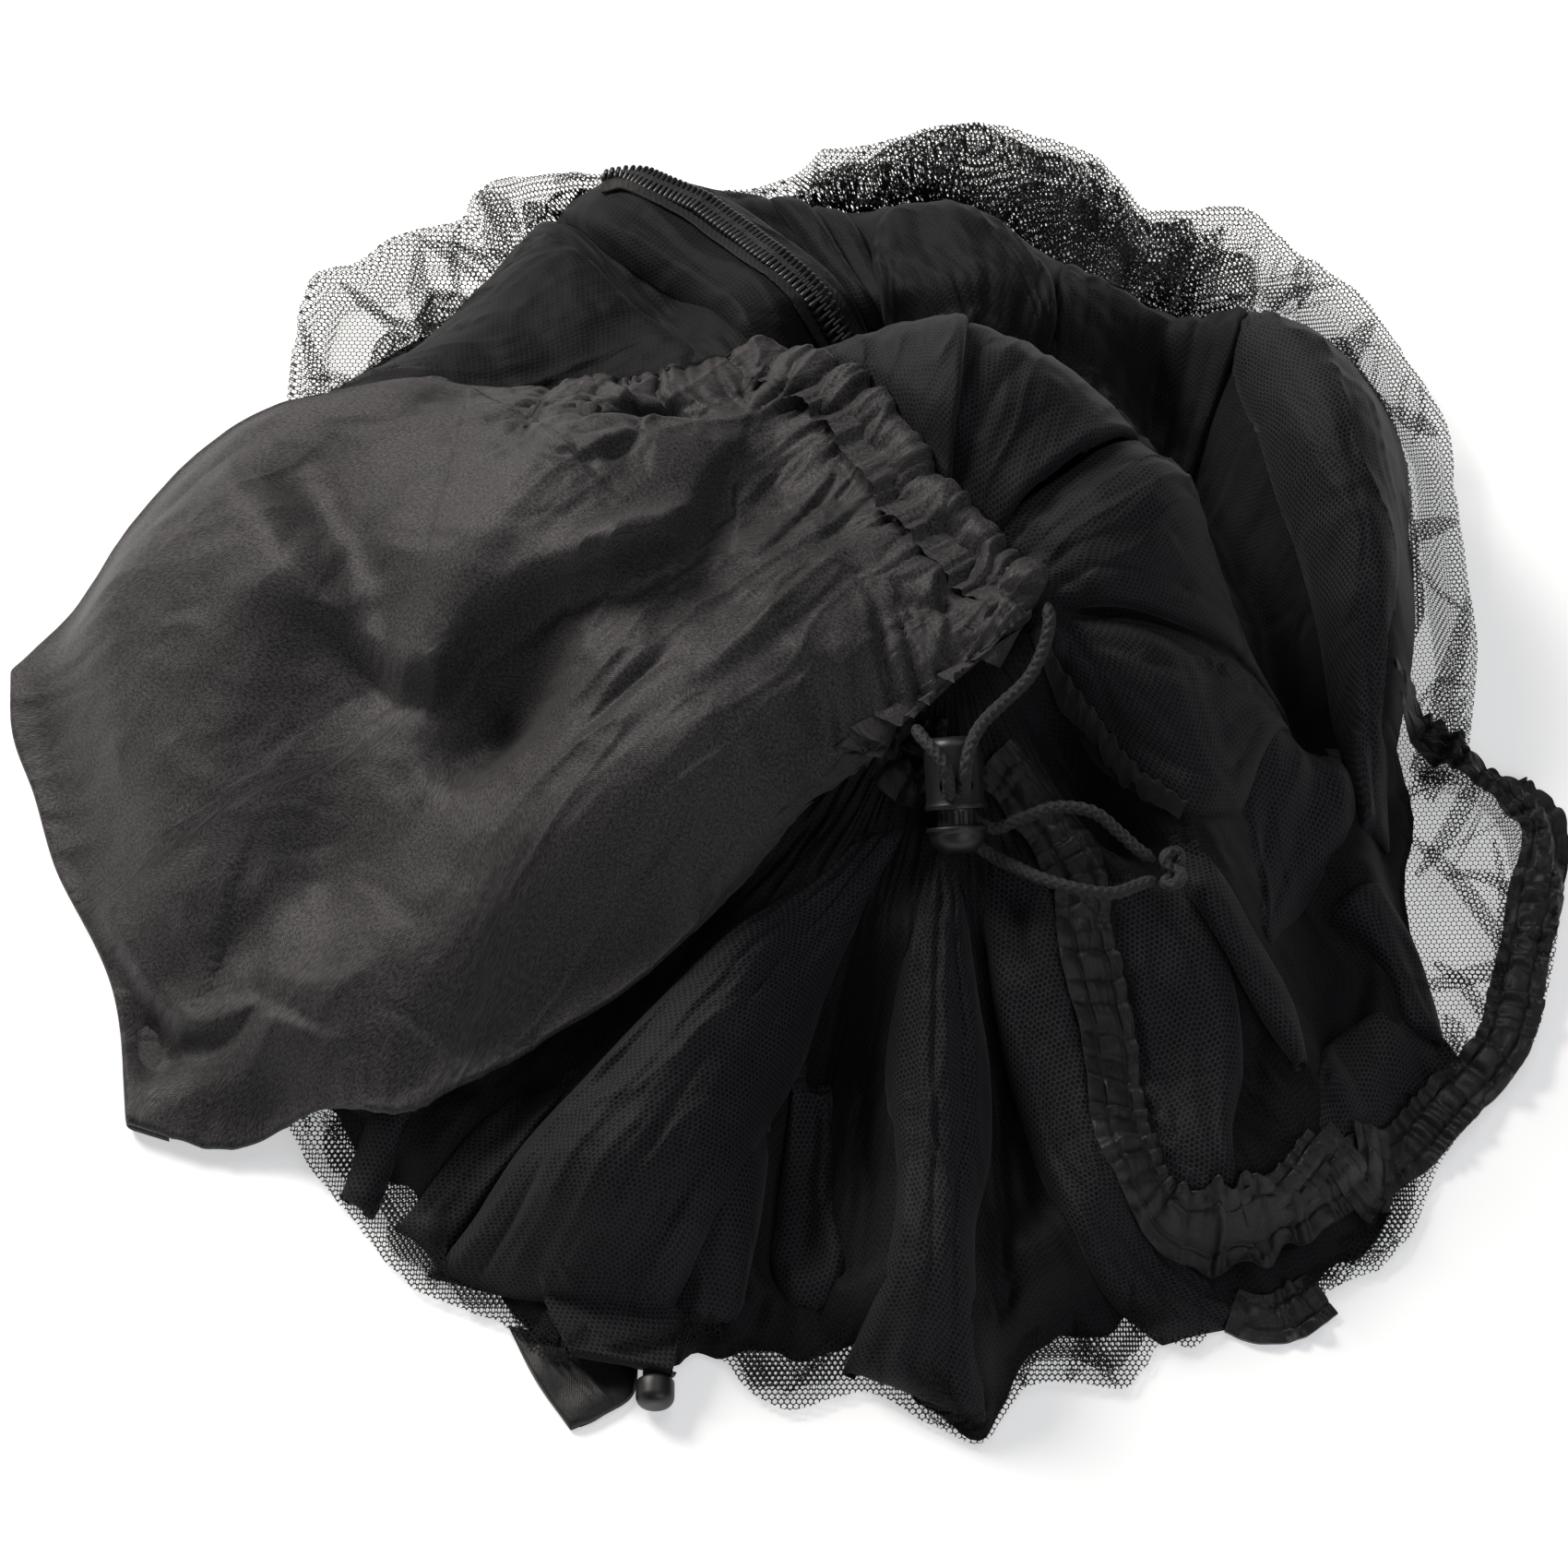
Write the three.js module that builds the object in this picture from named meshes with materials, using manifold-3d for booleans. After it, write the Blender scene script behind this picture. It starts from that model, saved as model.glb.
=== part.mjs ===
// A hammock mosquito net pulled half out of its drawstring sack and dropped in a heap.
// Millimetres. +X to the right, +Y away from the front, +Z up. The heap lies on z = 0.
import * as THREE from 'three';
import { mergeVertices } from 'three/addons/utils/BufferGeometryUtils.js';
import Module from 'manifold-3d';

const wasm = await Module();
wasm.setup();

// ---- Driving dimensions -------------------------------------------------------------------
const netEdgeThickness = 1.8; // the single and double layers of net along the heap's rim
const clothThickness = 1.2; // one layer of the sack
const sackGap = 0.8; // between the sack's two layers
const layClearance = 1; // between a long piece and the cloth that it lies on
const shortLayClearance = 0.6; // the same for the short strips, which follow the cloth more closely
const settleRadius = 4; // how far a piece looks around itself for the highest cloth below it
const settleLooks = 8; // directions that it looks in

const gatherPoint = { x: 38, y: -8, height: 80 }; // where the net comes out of the sack's mouth
const crownShare = 0.3; // how far out along a ray the crown's height is measured
const shoulderRun = 26; // from the shoulder down to the start of the flat skirt
const skirtFade = 12; // folds die out over this length above the skirt
const bodyRings = 16;
const skirtRings = 2;
const ringCrowding = 0.85; // below 1 the rings crowd towards the body's foot
const stepsPerRimRow = 2;

const casingWidth = 12.5;
const casingThickness = 1.6;
const casingGather = 0.5; // how far its small gathers stand up
const zipTapeWidth = 15;
const zipTapeThickness = 1;
const zipChainWidth = 5.9;
const zipChainThickness = 2;
const zipTapeSplit = 0.5; // between the two tapes, under the chain
const zipChainGap = 0.5; // between the tapes and the chain

const cordDiameter = 3.2;
const cordSides = 8;
const cordStep = 1.2 * cordDiameter;

const lockRadius = 6.6;
const lockLength = 16.5;
const lockBore = 4.9;
const lockBoreDepth = 12.5;
const lockRim = 0.45; // how far the barrel's end rim stands out
const lockSlotWidth = 3.8; // along the barrel; two strands lie side by side in the slot
const lockSlotLength = 7.6;
const lockSlotPlace = 5.2; // from the barrel's open end
const buttonGap = 3.9; // between barrel and button cap at rest
const stemRadius = lockBore - 0.35;
const stemDepth = 7.6; // of the stem inside the barrel at rest
const buttonCapHeight = 6;
const latheSegments = 24;

const toggleRadius = 4.4;
const toggleLength = 15;
const togglePlace = { x: -29, y: -171.6 }; // the middle of its round end

// ---- The heap's rim, anticlockwise from the right -------------------------------------------
// skirt: width of the flat sheer edge. shoulder: height above the skirt's start, shoulderRun in.
// crown: height at crownShare of the way out from the gather point.
const rim = [
  { x: 166, y: -8, skirt: 14, shoulder: 42, crown: 84 },
  { x: 171, y: 24, skirt: 14, shoulder: 47, crown: 88 },
  { x: 170, y: 55, skirt: 14, shoulder: 50, crown: 90 },
  { x: 168, y: 90, skirt: 16, shoulder: 50, crown: 90 },
  { x: 159, y: 113, skirt: 18, shoulder: 44, crown: 90 },
  { x: 139, y: 139, skirt: 26, shoulder: 38, crown: 91 },
  { x: 120, y: 156, skirt: 38, shoulder: 36, crown: 92 },
  { x: 97, y: 160, skirt: 32, shoulder: 38, crown: 92 },
  { x: 78, y: 174, skirt: 36, shoulder: 42, crown: 93 },
  { x: 51, y: 180, skirt: 30, shoulder: 44, crown: 94 },
  { x: 27, y: 174, skirt: 22, shoulder: 44, crown: 93 },
  { x: 9, y: 169, skirt: 15, shoulder: 44, crown: 89 },
  { x: -10, y: 166, skirt: 8, shoulder: 45, crown: 85 },
  { x: -36, y: 168, skirt: 7, shoulder: 45, crown: 80 },
  { x: -62, y: 165, skirt: 9, shoulder: 44, crown: 77 },
  { x: -79, y: 159, skirt: 18, shoulder: 43, crown: 76 },
  { x: -98, y: 150, skirt: 26, shoulder: 42, crown: 76 },
  { x: -118, y: 140, skirt: 34, shoulder: 42, crown: 76 },
  { x: -127, y: 114, skirt: 24, shoulder: 43, crown: 76 },
  { x: -143, y: 85, skirt: 6, shoulder: 42, crown: 78 },
  { x: -159, y: 66, skirt: 5, shoulder: 34, crown: 79 },
  { x: -172, y: 45, skirt: 5, shoulder: 27, crown: 79 },
  { x: -178, y: 18, skirt: 5, shoulder: 22, crown: 78 },
  { x: -172, y: -14, skirt: 5, shoulder: 19, crown: 76 },
  { x: -156, y: -54, skirt: 5, shoulder: 18, crown: 73 },
  { x: -131, y: -91, skirt: 7, shoulder: 19, crown: 68 },
  { x: -107, y: -117, skirt: 10, shoulder: 24, crown: 62 },
  { x: -96, y: -131, skirt: 14, shoulder: 26, crown: 57 },
  { x: -83, y: -141, skirt: 13, shoulder: 29, crown: 54 },
  { x: -65, y: -151, skirt: 12, shoulder: 32, crown: 53 },
  { x: -48, y: -158, skirt: 14, shoulder: 32, crown: 52 },
  { x: -30, y: -156, skirt: 10, shoulder: 29, crown: 52 },
  { x: -20, y: -155, skirt: 7, shoulder: 27, crown: 52 },
  { x: -12, y: -162, skirt: 12, shoulder: 26, crown: 52 },
  { x: 1, y: -171, skirt: 16, shoulder: 26, crown: 52 },
  { x: 18, y: -167, skirt: 9, shoulder: 30, crown: 52 },
  { x: 32, y: -174, skirt: 7, shoulder: 30, crown: 52 },
  { x: 45, y: -180, skirt: 7, shoulder: 28, crown: 52 },
  { x: 54, y: -167, skirt: 7, shoulder: 28, crown: 52 },
  { x: 65, y: -165, skirt: 13, shoulder: 27, crown: 53 },
  { x: 78, y: -164, skirt: 18, shoulder: 27, crown: 54 },
  { x: 87, y: -154, skirt: 14, shoulder: 27, crown: 55 },
  { x: 102, y: -148, skirt: 11, shoulder: 27, crown: 57 },
  { x: 127, y: -141, skirt: 11, shoulder: 25, crown: 60 },
  { x: 144, y: -127, skirt: 10, shoulder: 24, crown: 63 },
  { x: 152, y: -110, skirt: 12, shoulder: 24, crown: 66 },
  { x: 161, y: -93, skirt: 16, shoulder: 26, crown: 70 },
  { x: 175, y: -64, skirt: 30, shoulder: 32, crown: 74 },
  { x: 180, y: -41, skirt: 36, shoulder: 38, crown: 78 },
  { x: 176, y: -22, skirt: 32, shoulder: 40, crown: 81 },
];

// ---- Main pleats of the heap: soft ridges (rise above 0) and troughs ---------------------------
const heapFolds = [
  { name: 'upper left pleat', path: [[-92, 78], [-66, 97], [-48, 118]], width: 17, rise: 8 },
  { name: 'trough below it', path: [[-64, 60], [-34, 84], [-26, 100]], width: 8, rise: -5 },
  { name: 'trough right of the zip', path: [[6, 146], [15, 117], [22, 92]], width: 8, rise: -10 },
  { name: 'back dome', path: [[30, 143], [46, 135], [59, 112]], width: 15, rise: 8 },
  { name: 'upper fan pleat', path: [[27, 44], [30, 70]], width: 13, rise: 4 },
  { name: 'second upper fan pleat', path: [[46, 22], [58, 58]], width: 11, rise: 4 },
  { name: 'step below the upper fan', path: [[8, 86], [30, 92], [56, 86], [78, 66]], width: 9, rise: -12 },
  { name: 'trough between fans', path: [[58, 14], [70, 26], [88, 48]], width: 7, rise: -10 },
  { name: 'middle fan pleat', path: [[60, 4], [78, 18], [97, 28]], width: 10, rise: 6 },
  { name: 'trough below the middle fan', path: [[66, -6], [84, -5], [112, 4]], width: 5, rise: -7 },
  { name: 'lower fan pleat', path: [[64, -15], [90, -17], [110, -14]], width: 10, rise: 7 },
  { name: 'cavity under the lower fan', path: [[62, -28], [70, -37], [77, -46]], width: 7, rise: -15 },
  { name: 'deep upper right trough', path: [[92, 90], [106, 58], [122, 26], [130, -6]], width: 10, rise: -26 },
  { name: 'tall pleat at the right', path: [[118, 108], [133, 70], [142, 32], [144, 4]], width: 13, rise: 9 },
  { name: 'tongue pleat', path: [[93, -47], [105, -70], [118, -97]], width: 8, rise: 7 },
  { name: 'trough right of the tongue', path: [[124, -40], [128, -72], [132, -98]], width: 8, rise: -8 },
  { name: 'pleat under the casing', path: [[60, -76], [64, -104], [76, -130]], width: 9, rise: 8 },
  { name: 'second casing pleat', path: [[88, -82], [93, -110], [102, -128]], width: 9, rise: 5 },
  { name: 'trough left of the casing', path: [[47, -72], [50, -104], [56, -128]], width: 6, rise: -12 },
  { name: 'centre pleat', path: [[28, -78], [30, -110], [28, -141], [26, -158]], width: 10, rise: 8 },
  { name: 'deep front trough', path: [[11, -74], [5, -100], [2, -124], [5, -146]], width: 7, rise: -14 },
  { name: 'big front left pleat', path: [[-8, -84], [-27, -109], [-43, -132], [-50, -146]], width: 15, rise: 9 },
  { name: 'first trough at the back', path: [[34, 160], [31, 146]], width: 6, rise: -7 },
  { name: 'second trough at the back', path: [[-20, 158], [-17, 138]], width: 6, rise: -6 },
  { name: 'pleat behind the zip', path: [[-70, 150], [-64, 130]], width: 8, rise: 5 },
  { name: 'trough at the back left', path: [[-100, 122], [-84, 104]], width: 7, rise: -7 },
  { name: 'first trough at the right', path: [[158, 88], [148, 80]], width: 7, rise: -7 },
  { name: 'second trough at the right', path: [[158, 44], [146, 40]], width: 6, rise: -6 },
  { name: 'third trough at the right', path: [[152, 12], [136, 4]], width: 7, rise: -8 },
  { name: 'crease inside the casing loop', path: [[146, -36], [126, -30]], width: 6, rise: -6 },
  { name: 'trough at the far front left', path: [[-58, -102], [-68, -118], [-84, -130]], width: 7, rise: -9 },
];

// ---- The sack's four boundary curves in plan, and its folds ------------------------------------
const sackFrontEdge = [
  [-152, -100], [-131, -106], [-106, -102], [-86, -107], [-73, -102], [-52, -93],
  [-35, -86], [-18, -75], [-4, -58], [13, -41], [22, -29],
];
const sackBackEdge = [
  [-189.8, 22], [-176, 35], [-160, 51], [-144, 66], [-125, 73], [-107, 71.5], [-91, 70], [-82, 65.5],
  [-71, 57], [-58, 50], [-47, 47],
];
const sackClosedEnd = [[-152, -100], [-157, -68], [-175, -30], [-181, -12], [-188, 6], [-189.8, 22]];
const sackMouth = [
  [22, -29], [32, -26], [46, -19], [55.5, -12.5], [57.5, -4], [49, 5], [41.5, 16], [36, 22],
  [27, 35], [17, 52], [7, 62], [-7, 70], [-15, 67.5], [-23, 64], [-32, 61], [-41, 60], [-47, 47],
];
const sackRows = 18;
const sackColumns = 28;
const sackInset = 1.8; // of the inner slit from the sewn edges, in plan
const sackCrown = 15; // how far the sack's middle stands off the heap
const sackSwell = { sides: 0.2, end: 0.25 }; // share of its breadth and length over which it swells up
const sackFlattens = { from: 0.55, over: 0.4 }; // shares of its length, where it sinks onto the heap
const ruche = { share: 0.09, rise: 1.6 }; // the drawcord channel's share of the length, and its gathers

const sackFolds = [
  { name: 'long crease', path: [[-104, -2], [-84, -12], [-74, -12], [-50, 8], [0, 30]], width: 9, rise: -9 },
  { name: 'deep pocket', path: [[-66, -24], [-58, -26]], width: 15, rise: -11 },
  { name: 'back trough', path: [[-122, 44], [-108, 18], [-92, 2]], width: 9, rise: -7 },
  { name: 'left hollow', path: [[-106, -50], [-108, -62]], width: 17, rise: -7 },
  { name: 'front left hollow', path: [[-136, -78], [-124, -82]], width: 15, rise: -6 },
  { name: 'front ridge', path: [[-84, -76], [-46, -64], [-12, -44]], width: 20, rise: 5 },
  { name: 'left ridge', path: [[-150, -28], [-134, 8]], width: 24, rise: 6 },
  { name: 'crease to the mouth', path: [[-38, -32], [-8, -6], [10, 4]], width: 7, rise: -4 },
];

// ---- Routes of the sewn-on strips, in plan ------------------------------------------------------
const casingRoute = [
  [55, -43], [63, -52], [67.5, -64], [68, -72], [73.5, -94], [78, -119], [86, -131], [100, -133], [115, -127],
  [127, -119], [141, -111], [156, -95], [168, -82], [175, -60], [180, -41], [183.6, -22], [176, -10],
];
const casingCornerRoute = [[-59, -150], [-56, -160], [-48, -168.5], [-39, -165]];
const casingTailRoute = [[102, -147], [109, -149.5], [116, -148], [123, -143]];
const zipRoute = [[-46, 144], [-41, 144], [-31, 138], [-22, 132], [-13, 121], [-4.5, 108], [4, 97], [10, 88]];

// ---- Cord routes, each point [x, y, z] ----------------------------------------------------------
// The lock lies down the heap's front slope; its button points away from the sack.
const lockPlace = { x: 39, y: -51, z: 64 }; // the middle of the barrel's open end
const lockPitch = 28; // degrees below level
const lockTurn = 4; // degrees about Z, from straight towards the front
const drawcordRight = [
  [59.6, -10.5, 88], [60, -15, 87.5], [58.5, -21, 84.5], [55, -27, 81.5], [49.5, -32, 79.5],
  [45, -37, 79.5], [42.2, -42.5, 80], [41, -47, 79.2], [40.6, -50, 76.6], [40.6, -49.6, 72.7],
];
const drawcordLeft = [
  [29.5, -36, 76], [31, -40.5, 78.6], [34, -45.3, 79.6],
  [36.4, -48.9, 78.4], [36.8, -50.6, 75.8], [36.8, -49.8, 72.7],
];
const loopUpper = [
  [47.4, -54.2, 59.8], [53.5, -53, 63.4], [62.4, -51.4, 66], [70.3, -52.6, 65.4],
  [76, -56.4, 62.8], [81, -60.2, 60.6], [84.2, -61.4, 59.2],
];
const loopLower = [
  [47.2, -59, 57.8], [51.5, -62.8, 59.4], [58.7, -68, 62.2], [66.5, -71, 63],
  [73.8, -71, 61.2], [80, -67.8, 59.2], [84.2, -65.8, 58.4],
];
const knotPlace = { x: 88, y: -63.6, z: 58.4 };
const knotSize = { x: 6, y: 11, z: 7 };

// ---- Small helpers ---------------------------------------------------------------------------
const clamp01 = (value) => Math.min(1, Math.max(0, value));
const ease = (value) => clamp01(value) ** 2 * (3 - 2 * clamp01(value));
const mix = (from, to, share) => from + (to - from) * share;

function distanceToPath(path, x, y) {
  let nearest = Infinity;
  for (let i = 0; i + 1 < path.length; i += 1) {
    const [ax, ay] = path[i];
    const [bx, by] = path[i + 1];
    const lengthSquared = (bx - ax) ** 2 + (by - ay) ** 2;
    const share = clamp01(((x - ax) * (bx - ax) + (y - ay) * (by - ay)) / lengthSquared);
    nearest = Math.min(nearest, Math.hypot(x - mix(ax, bx, share), y - mix(ay, by, share)));
  }
  return nearest;
}

function foldRelief(folds, x, y) {
  let relief = 0;
  for (const fold of folds) {
    relief += fold.rise * Math.exp(-((distanceToPath(fold.path, x, y) / fold.width) ** 2));
  }
  return relief;
}

function planCurve(points) {
  const corners = points.map(([x, y, z = 0]) => new THREE.Vector3(x, y, z));
  return new THREE.CatmullRomCurve3(corners, false, 'centripetal');
}

function solidFrom(points, triangles) {
  const geometry = new THREE.BufferGeometry();
  const coordinates = points.flatMap((p) => [p.x, p.y, p.z]);
  geometry.setAttribute('position', new THREE.Float32BufferAttribute(coordinates, 3));
  geometry.setIndex(triangles);
  return geometry;
}

function quad(triangles, a, b, c, d) {
  triangles.push(a, b, c, a, c, d);
}

// ---- The net: one heap on a flat base -------------------------------------------------------------
// A ray runs from the gather point to the rim. Along it the height goes from the gather point over the
// crown and the shoulder down a rounded nose to the flat sheer skirt.
function rimValue(position, key) {
  const base = Math.floor(position);
  const share = position - base;
  const [a, b, c, d] = [-1, 0, 1, 2].map((step) => rim[(base + step + rim.length) % rim.length][key]);
  return b + 0.5 * share * (c - a + share * (2 * a - 5 * b + 4 * c - d + share * (3 * (b - c) + d - a)));
}

function heapPoint(position, ring) {
  const edge = { x: rimValue(position, 'x'), y: rimValue(position, 'y') };
  const skirt = rimValue(position, 'skirt');
  const length = Math.hypot(edge.x - gatherPoint.x, edge.y - gatherPoint.y);
  const footShare = 1 - skirt / length;
  const share = ring <= bodyRings
    ? footShare * (ring / bodyRings) ** ringCrowding
    : mix(footShare, 1, (ring - bodyRings) / skirtRings);
  const x = mix(gatherPoint.x, edge.x, share);
  const y = mix(gatherPoint.y, edge.y, share);
  const inward = (footShare - share) * length;
  const crownInward = (footShare - crownShare) * length;
  const shoulder = rimValue(position, 'shoulder');
  const crown = rimValue(position, 'crown');
  let body = 0;
  if (inward > 0 && inward < shoulderRun) {
    body = shoulder * Math.sqrt(1 - (1 - inward / shoulderRun) ** 2);
  } else if (inward >= shoulderRun && share > crownShare) {
    body = mix(shoulder, crown, ease((inward - shoulderRun) / (crownInward - shoulderRun)));
  } else if (inward >= shoulderRun) {
    body = mix(gatherPoint.height, crown, ease(share / crownShare));
  }
  const relief = foldRelief(heapFolds, x, y) * clamp01(inward / skirtFade);
  return new THREE.Vector3(x, y, Math.max(netEdgeThickness, body + relief));
}

function buildHeap() {
  const around = rim.length * stepsPerRimRow;
  const rings = bodyRings + skirtRings;
  const points = [new THREE.Vector3(gatherPoint.x, gatherPoint.y, gatherPoint.height)];
  for (let ring = 1; ring <= rings; ring += 1) {
    for (let i = 0; i < around; i += 1) {
      points.push(heapPoint(i / stepsPerRimRow, ring));
    }
  }
  const rimStart = 1 + (rings - 1) * around;
  const baseStart = points.length;
  for (let i = 0; i < around; i += 1) {
    const edge = points[rimStart + i];
    points.push(new THREE.Vector3(edge.x, edge.y, 0));
  }
  const baseCentre = points.length;
  points.push(new THREE.Vector3(gatherPoint.x, gatherPoint.y, 0));

  const triangles = [];
  for (let i = 0; i < around; i += 1) {
    const next = (i + 1) % around;
    triangles.push(0, 1 + i, 1 + next);
    for (let ring = 1; ring < rings; ring += 1) {
      const inner = 1 + (ring - 1) * around;
      const outer = inner + around;
      quad(triangles, inner + i, outer + i, outer + next, inner + next);
    }
    quad(triangles, rimStart + i, baseStart + i, baseStart + next, rimStart + next);
    triangles.push(baseStart + i, baseCentre, baseStart + next);
  }
  return solidFrom(points, triangles);
}

// ---- Resting cloth on the heap ----------------------------------------------------------------
const heap = buildHeap();
const heapFacets = (() => {
  const position = heap.getAttribute('position');
  const index = heap.getIndex();
  const facets = [];
  for (let i = 0; i < index.count; i += 3) {
    const corners = [0, 1, 2].map((k) => new THREE.Vector3().fromBufferAttribute(position, index.getX(i + k)));
    facets.push(corners);
  }
  return facets;
})();

function heapHeight(x, y) {
  let highest = 0;
  for (const [a, b, c] of heapFacets) {
    const area = (b.x - a.x) * (c.y - a.y) - (c.x - a.x) * (b.y - a.y);
    const shareB = ((x - a.x) * (c.y - a.y) - (c.x - a.x) * (y - a.y)) / area;
    const shareC = ((b.x - a.x) * (y - a.y) - (x - a.x) * (b.y - a.y)) / area;
    if (area > 0 && shareB >= 0 && shareC >= 0 && shareB + shareC <= 1) {
      highest = Math.max(highest, a.z + shareB * (b.z - a.z) + shareC * (c.z - a.z));
    }
  }
  return highest;
}

// The underside of a cloth that rests at (x, y): it bridges hollows narrower than the settle radius.
function restHeight(x, y, clearance = layClearance) {
  let highest = heapHeight(x, y);
  for (let i = 0; i < settleLooks; i += 1) {
    const angle = (i / settleLooks) * 2 * Math.PI;
    const [beyondX, beyondY] = [x + settleRadius * Math.cos(angle), y + settleRadius * Math.sin(angle)];
    highest = Math.max(highest, heapHeight(beyondX, beyondY));
  }
  return highest + clearance;
}

// A flat strip along a route, cut square, resting on the heap. offsets run from its right edge to its left.
// Across the strip the cloth is straight between the rails, so strips that share rails lie flat on each other.
function buildStrip({ route, offsets, rails = offsets, thickness, steps, clearance, lift = 0, gather = 0 }) {
  const curve = planCurve(route);
  const columns = offsets.length;
  const lower = [];
  for (let step = 0; step <= steps; step += 1) {
    const centre = curve.getPointAt(step / steps);
    const along = curve.getTangentAt(step / steps);
    const beside = (offset) => [centre.x - along.y * offset, centre.y + along.x * offset];
    const heights = rails.map((rail) => restHeight(...beside(rail), clearance));
    for (let column = 0; column < columns; column += 1) {
      const offset = offsets[column];
      const right = Math.max(0, Math.min(rails.length - 2, rails.findLastIndex((rail) => rail <= offset)));
      const share = (offset - rails[right]) / (rails[right + 1] - rails[right]);
      const wave = step % 2 === column % 2 ? gather : 0;
      const [x, y] = beside(offset);
      lower.push(new THREE.Vector3(x, y, mix(heights[right], heights[right + 1], share) + lift + wave));
    }
  }
  const upper = lower.map((p) => new THREE.Vector3(p.x, p.y, p.z + thickness));
  const points = [...upper, ...lower];
  const top = (row, column) => row * columns + column;
  const under = (row, column) => upper.length + row * columns + column;
  const last = columns - 1;
  const triangles = [];
  for (let row = 0; row < steps; row += 1) {
    for (let column = 0; column < last; column += 1) {
      quad(
        triangles, top(row, column), top(row + 1, column),
        top(row + 1, column + 1), top(row, column + 1),
      );
      quad(
        triangles, under(row, column), under(row, column + 1),
        under(row + 1, column + 1), under(row + 1, column),
      );
    }
    quad(triangles, top(row, 0), under(row, 0), under(row + 1, 0), top(row + 1, 0));
    quad(triangles, top(row + 1, last), under(row + 1, last), under(row, last), top(row, last));
  }
  for (let column = 0; column < last; column += 1) {
    quad(triangles, top(0, column + 1), under(0, column + 1), under(0, column), top(0, column));
    quad(
      triangles, top(steps, column), under(steps, column),
      under(steps, column + 1), top(steps, column + 1),
    );
  }
  return solidFrom(points, triangles);
}

// ---- The sack: two layers sewn along three edges, open at the mouth ------------------------------
const sackEdges = {
  front: planCurve(sackFrontEdge),
  back: planCurve(sackBackEdge),
  closed: planCurve(sackClosedEnd),
  mouth: planCurve(sackMouth),
};

// A patch blended between its four boundary curves: along runs to the mouth, across from front to back.
function sackPlan(along, across) {
  const corner = (curve, end) => curve.getPointAt(end);
  const front = sackEdges.front.getPointAt(along);
  const back = sackEdges.back.getPointAt(along);
  const closed = sackEdges.closed.getPointAt(across);
  const mouth = sackEdges.mouth.getPointAt(across);
  const blended = (axis) => mix(front[axis], back[axis], across) + mix(closed[axis], mouth[axis], along)
    - mix(
      mix(corner(sackEdges.front, 0)[axis], corner(sackEdges.front, 1)[axis], along),
      mix(corner(sackEdges.back, 0)[axis], corner(sackEdges.back, 1)[axis], along),
      across,
    );
  return { x: blended('x'), y: blended('y') };
}

function sackUnderside(along, across, column) {
  const { x, y } = sackPlan(along, across);
  const fromSide = Math.min(across, 1 - across) / sackSwell.sides;
  const fromEdge = Math.min(1, fromSide, along / sackSwell.end);
  const sinking = ease((along - sackFlattens.from) / sackFlattens.over);
  const crown = sackCrown * Math.sin(0.5 * Math.PI * fromEdge) * (1 - sinking);
  const relief = foldRelief(sackFolds, x, y) * ease(fromEdge);
  const channel = along > 1 - ruche.share ? ruche.rise * (column % 2) : 0;
  return new THREE.Vector3(x, y, restHeight(x, y) + Math.max(0, crown + relief) + channel);
}

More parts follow.
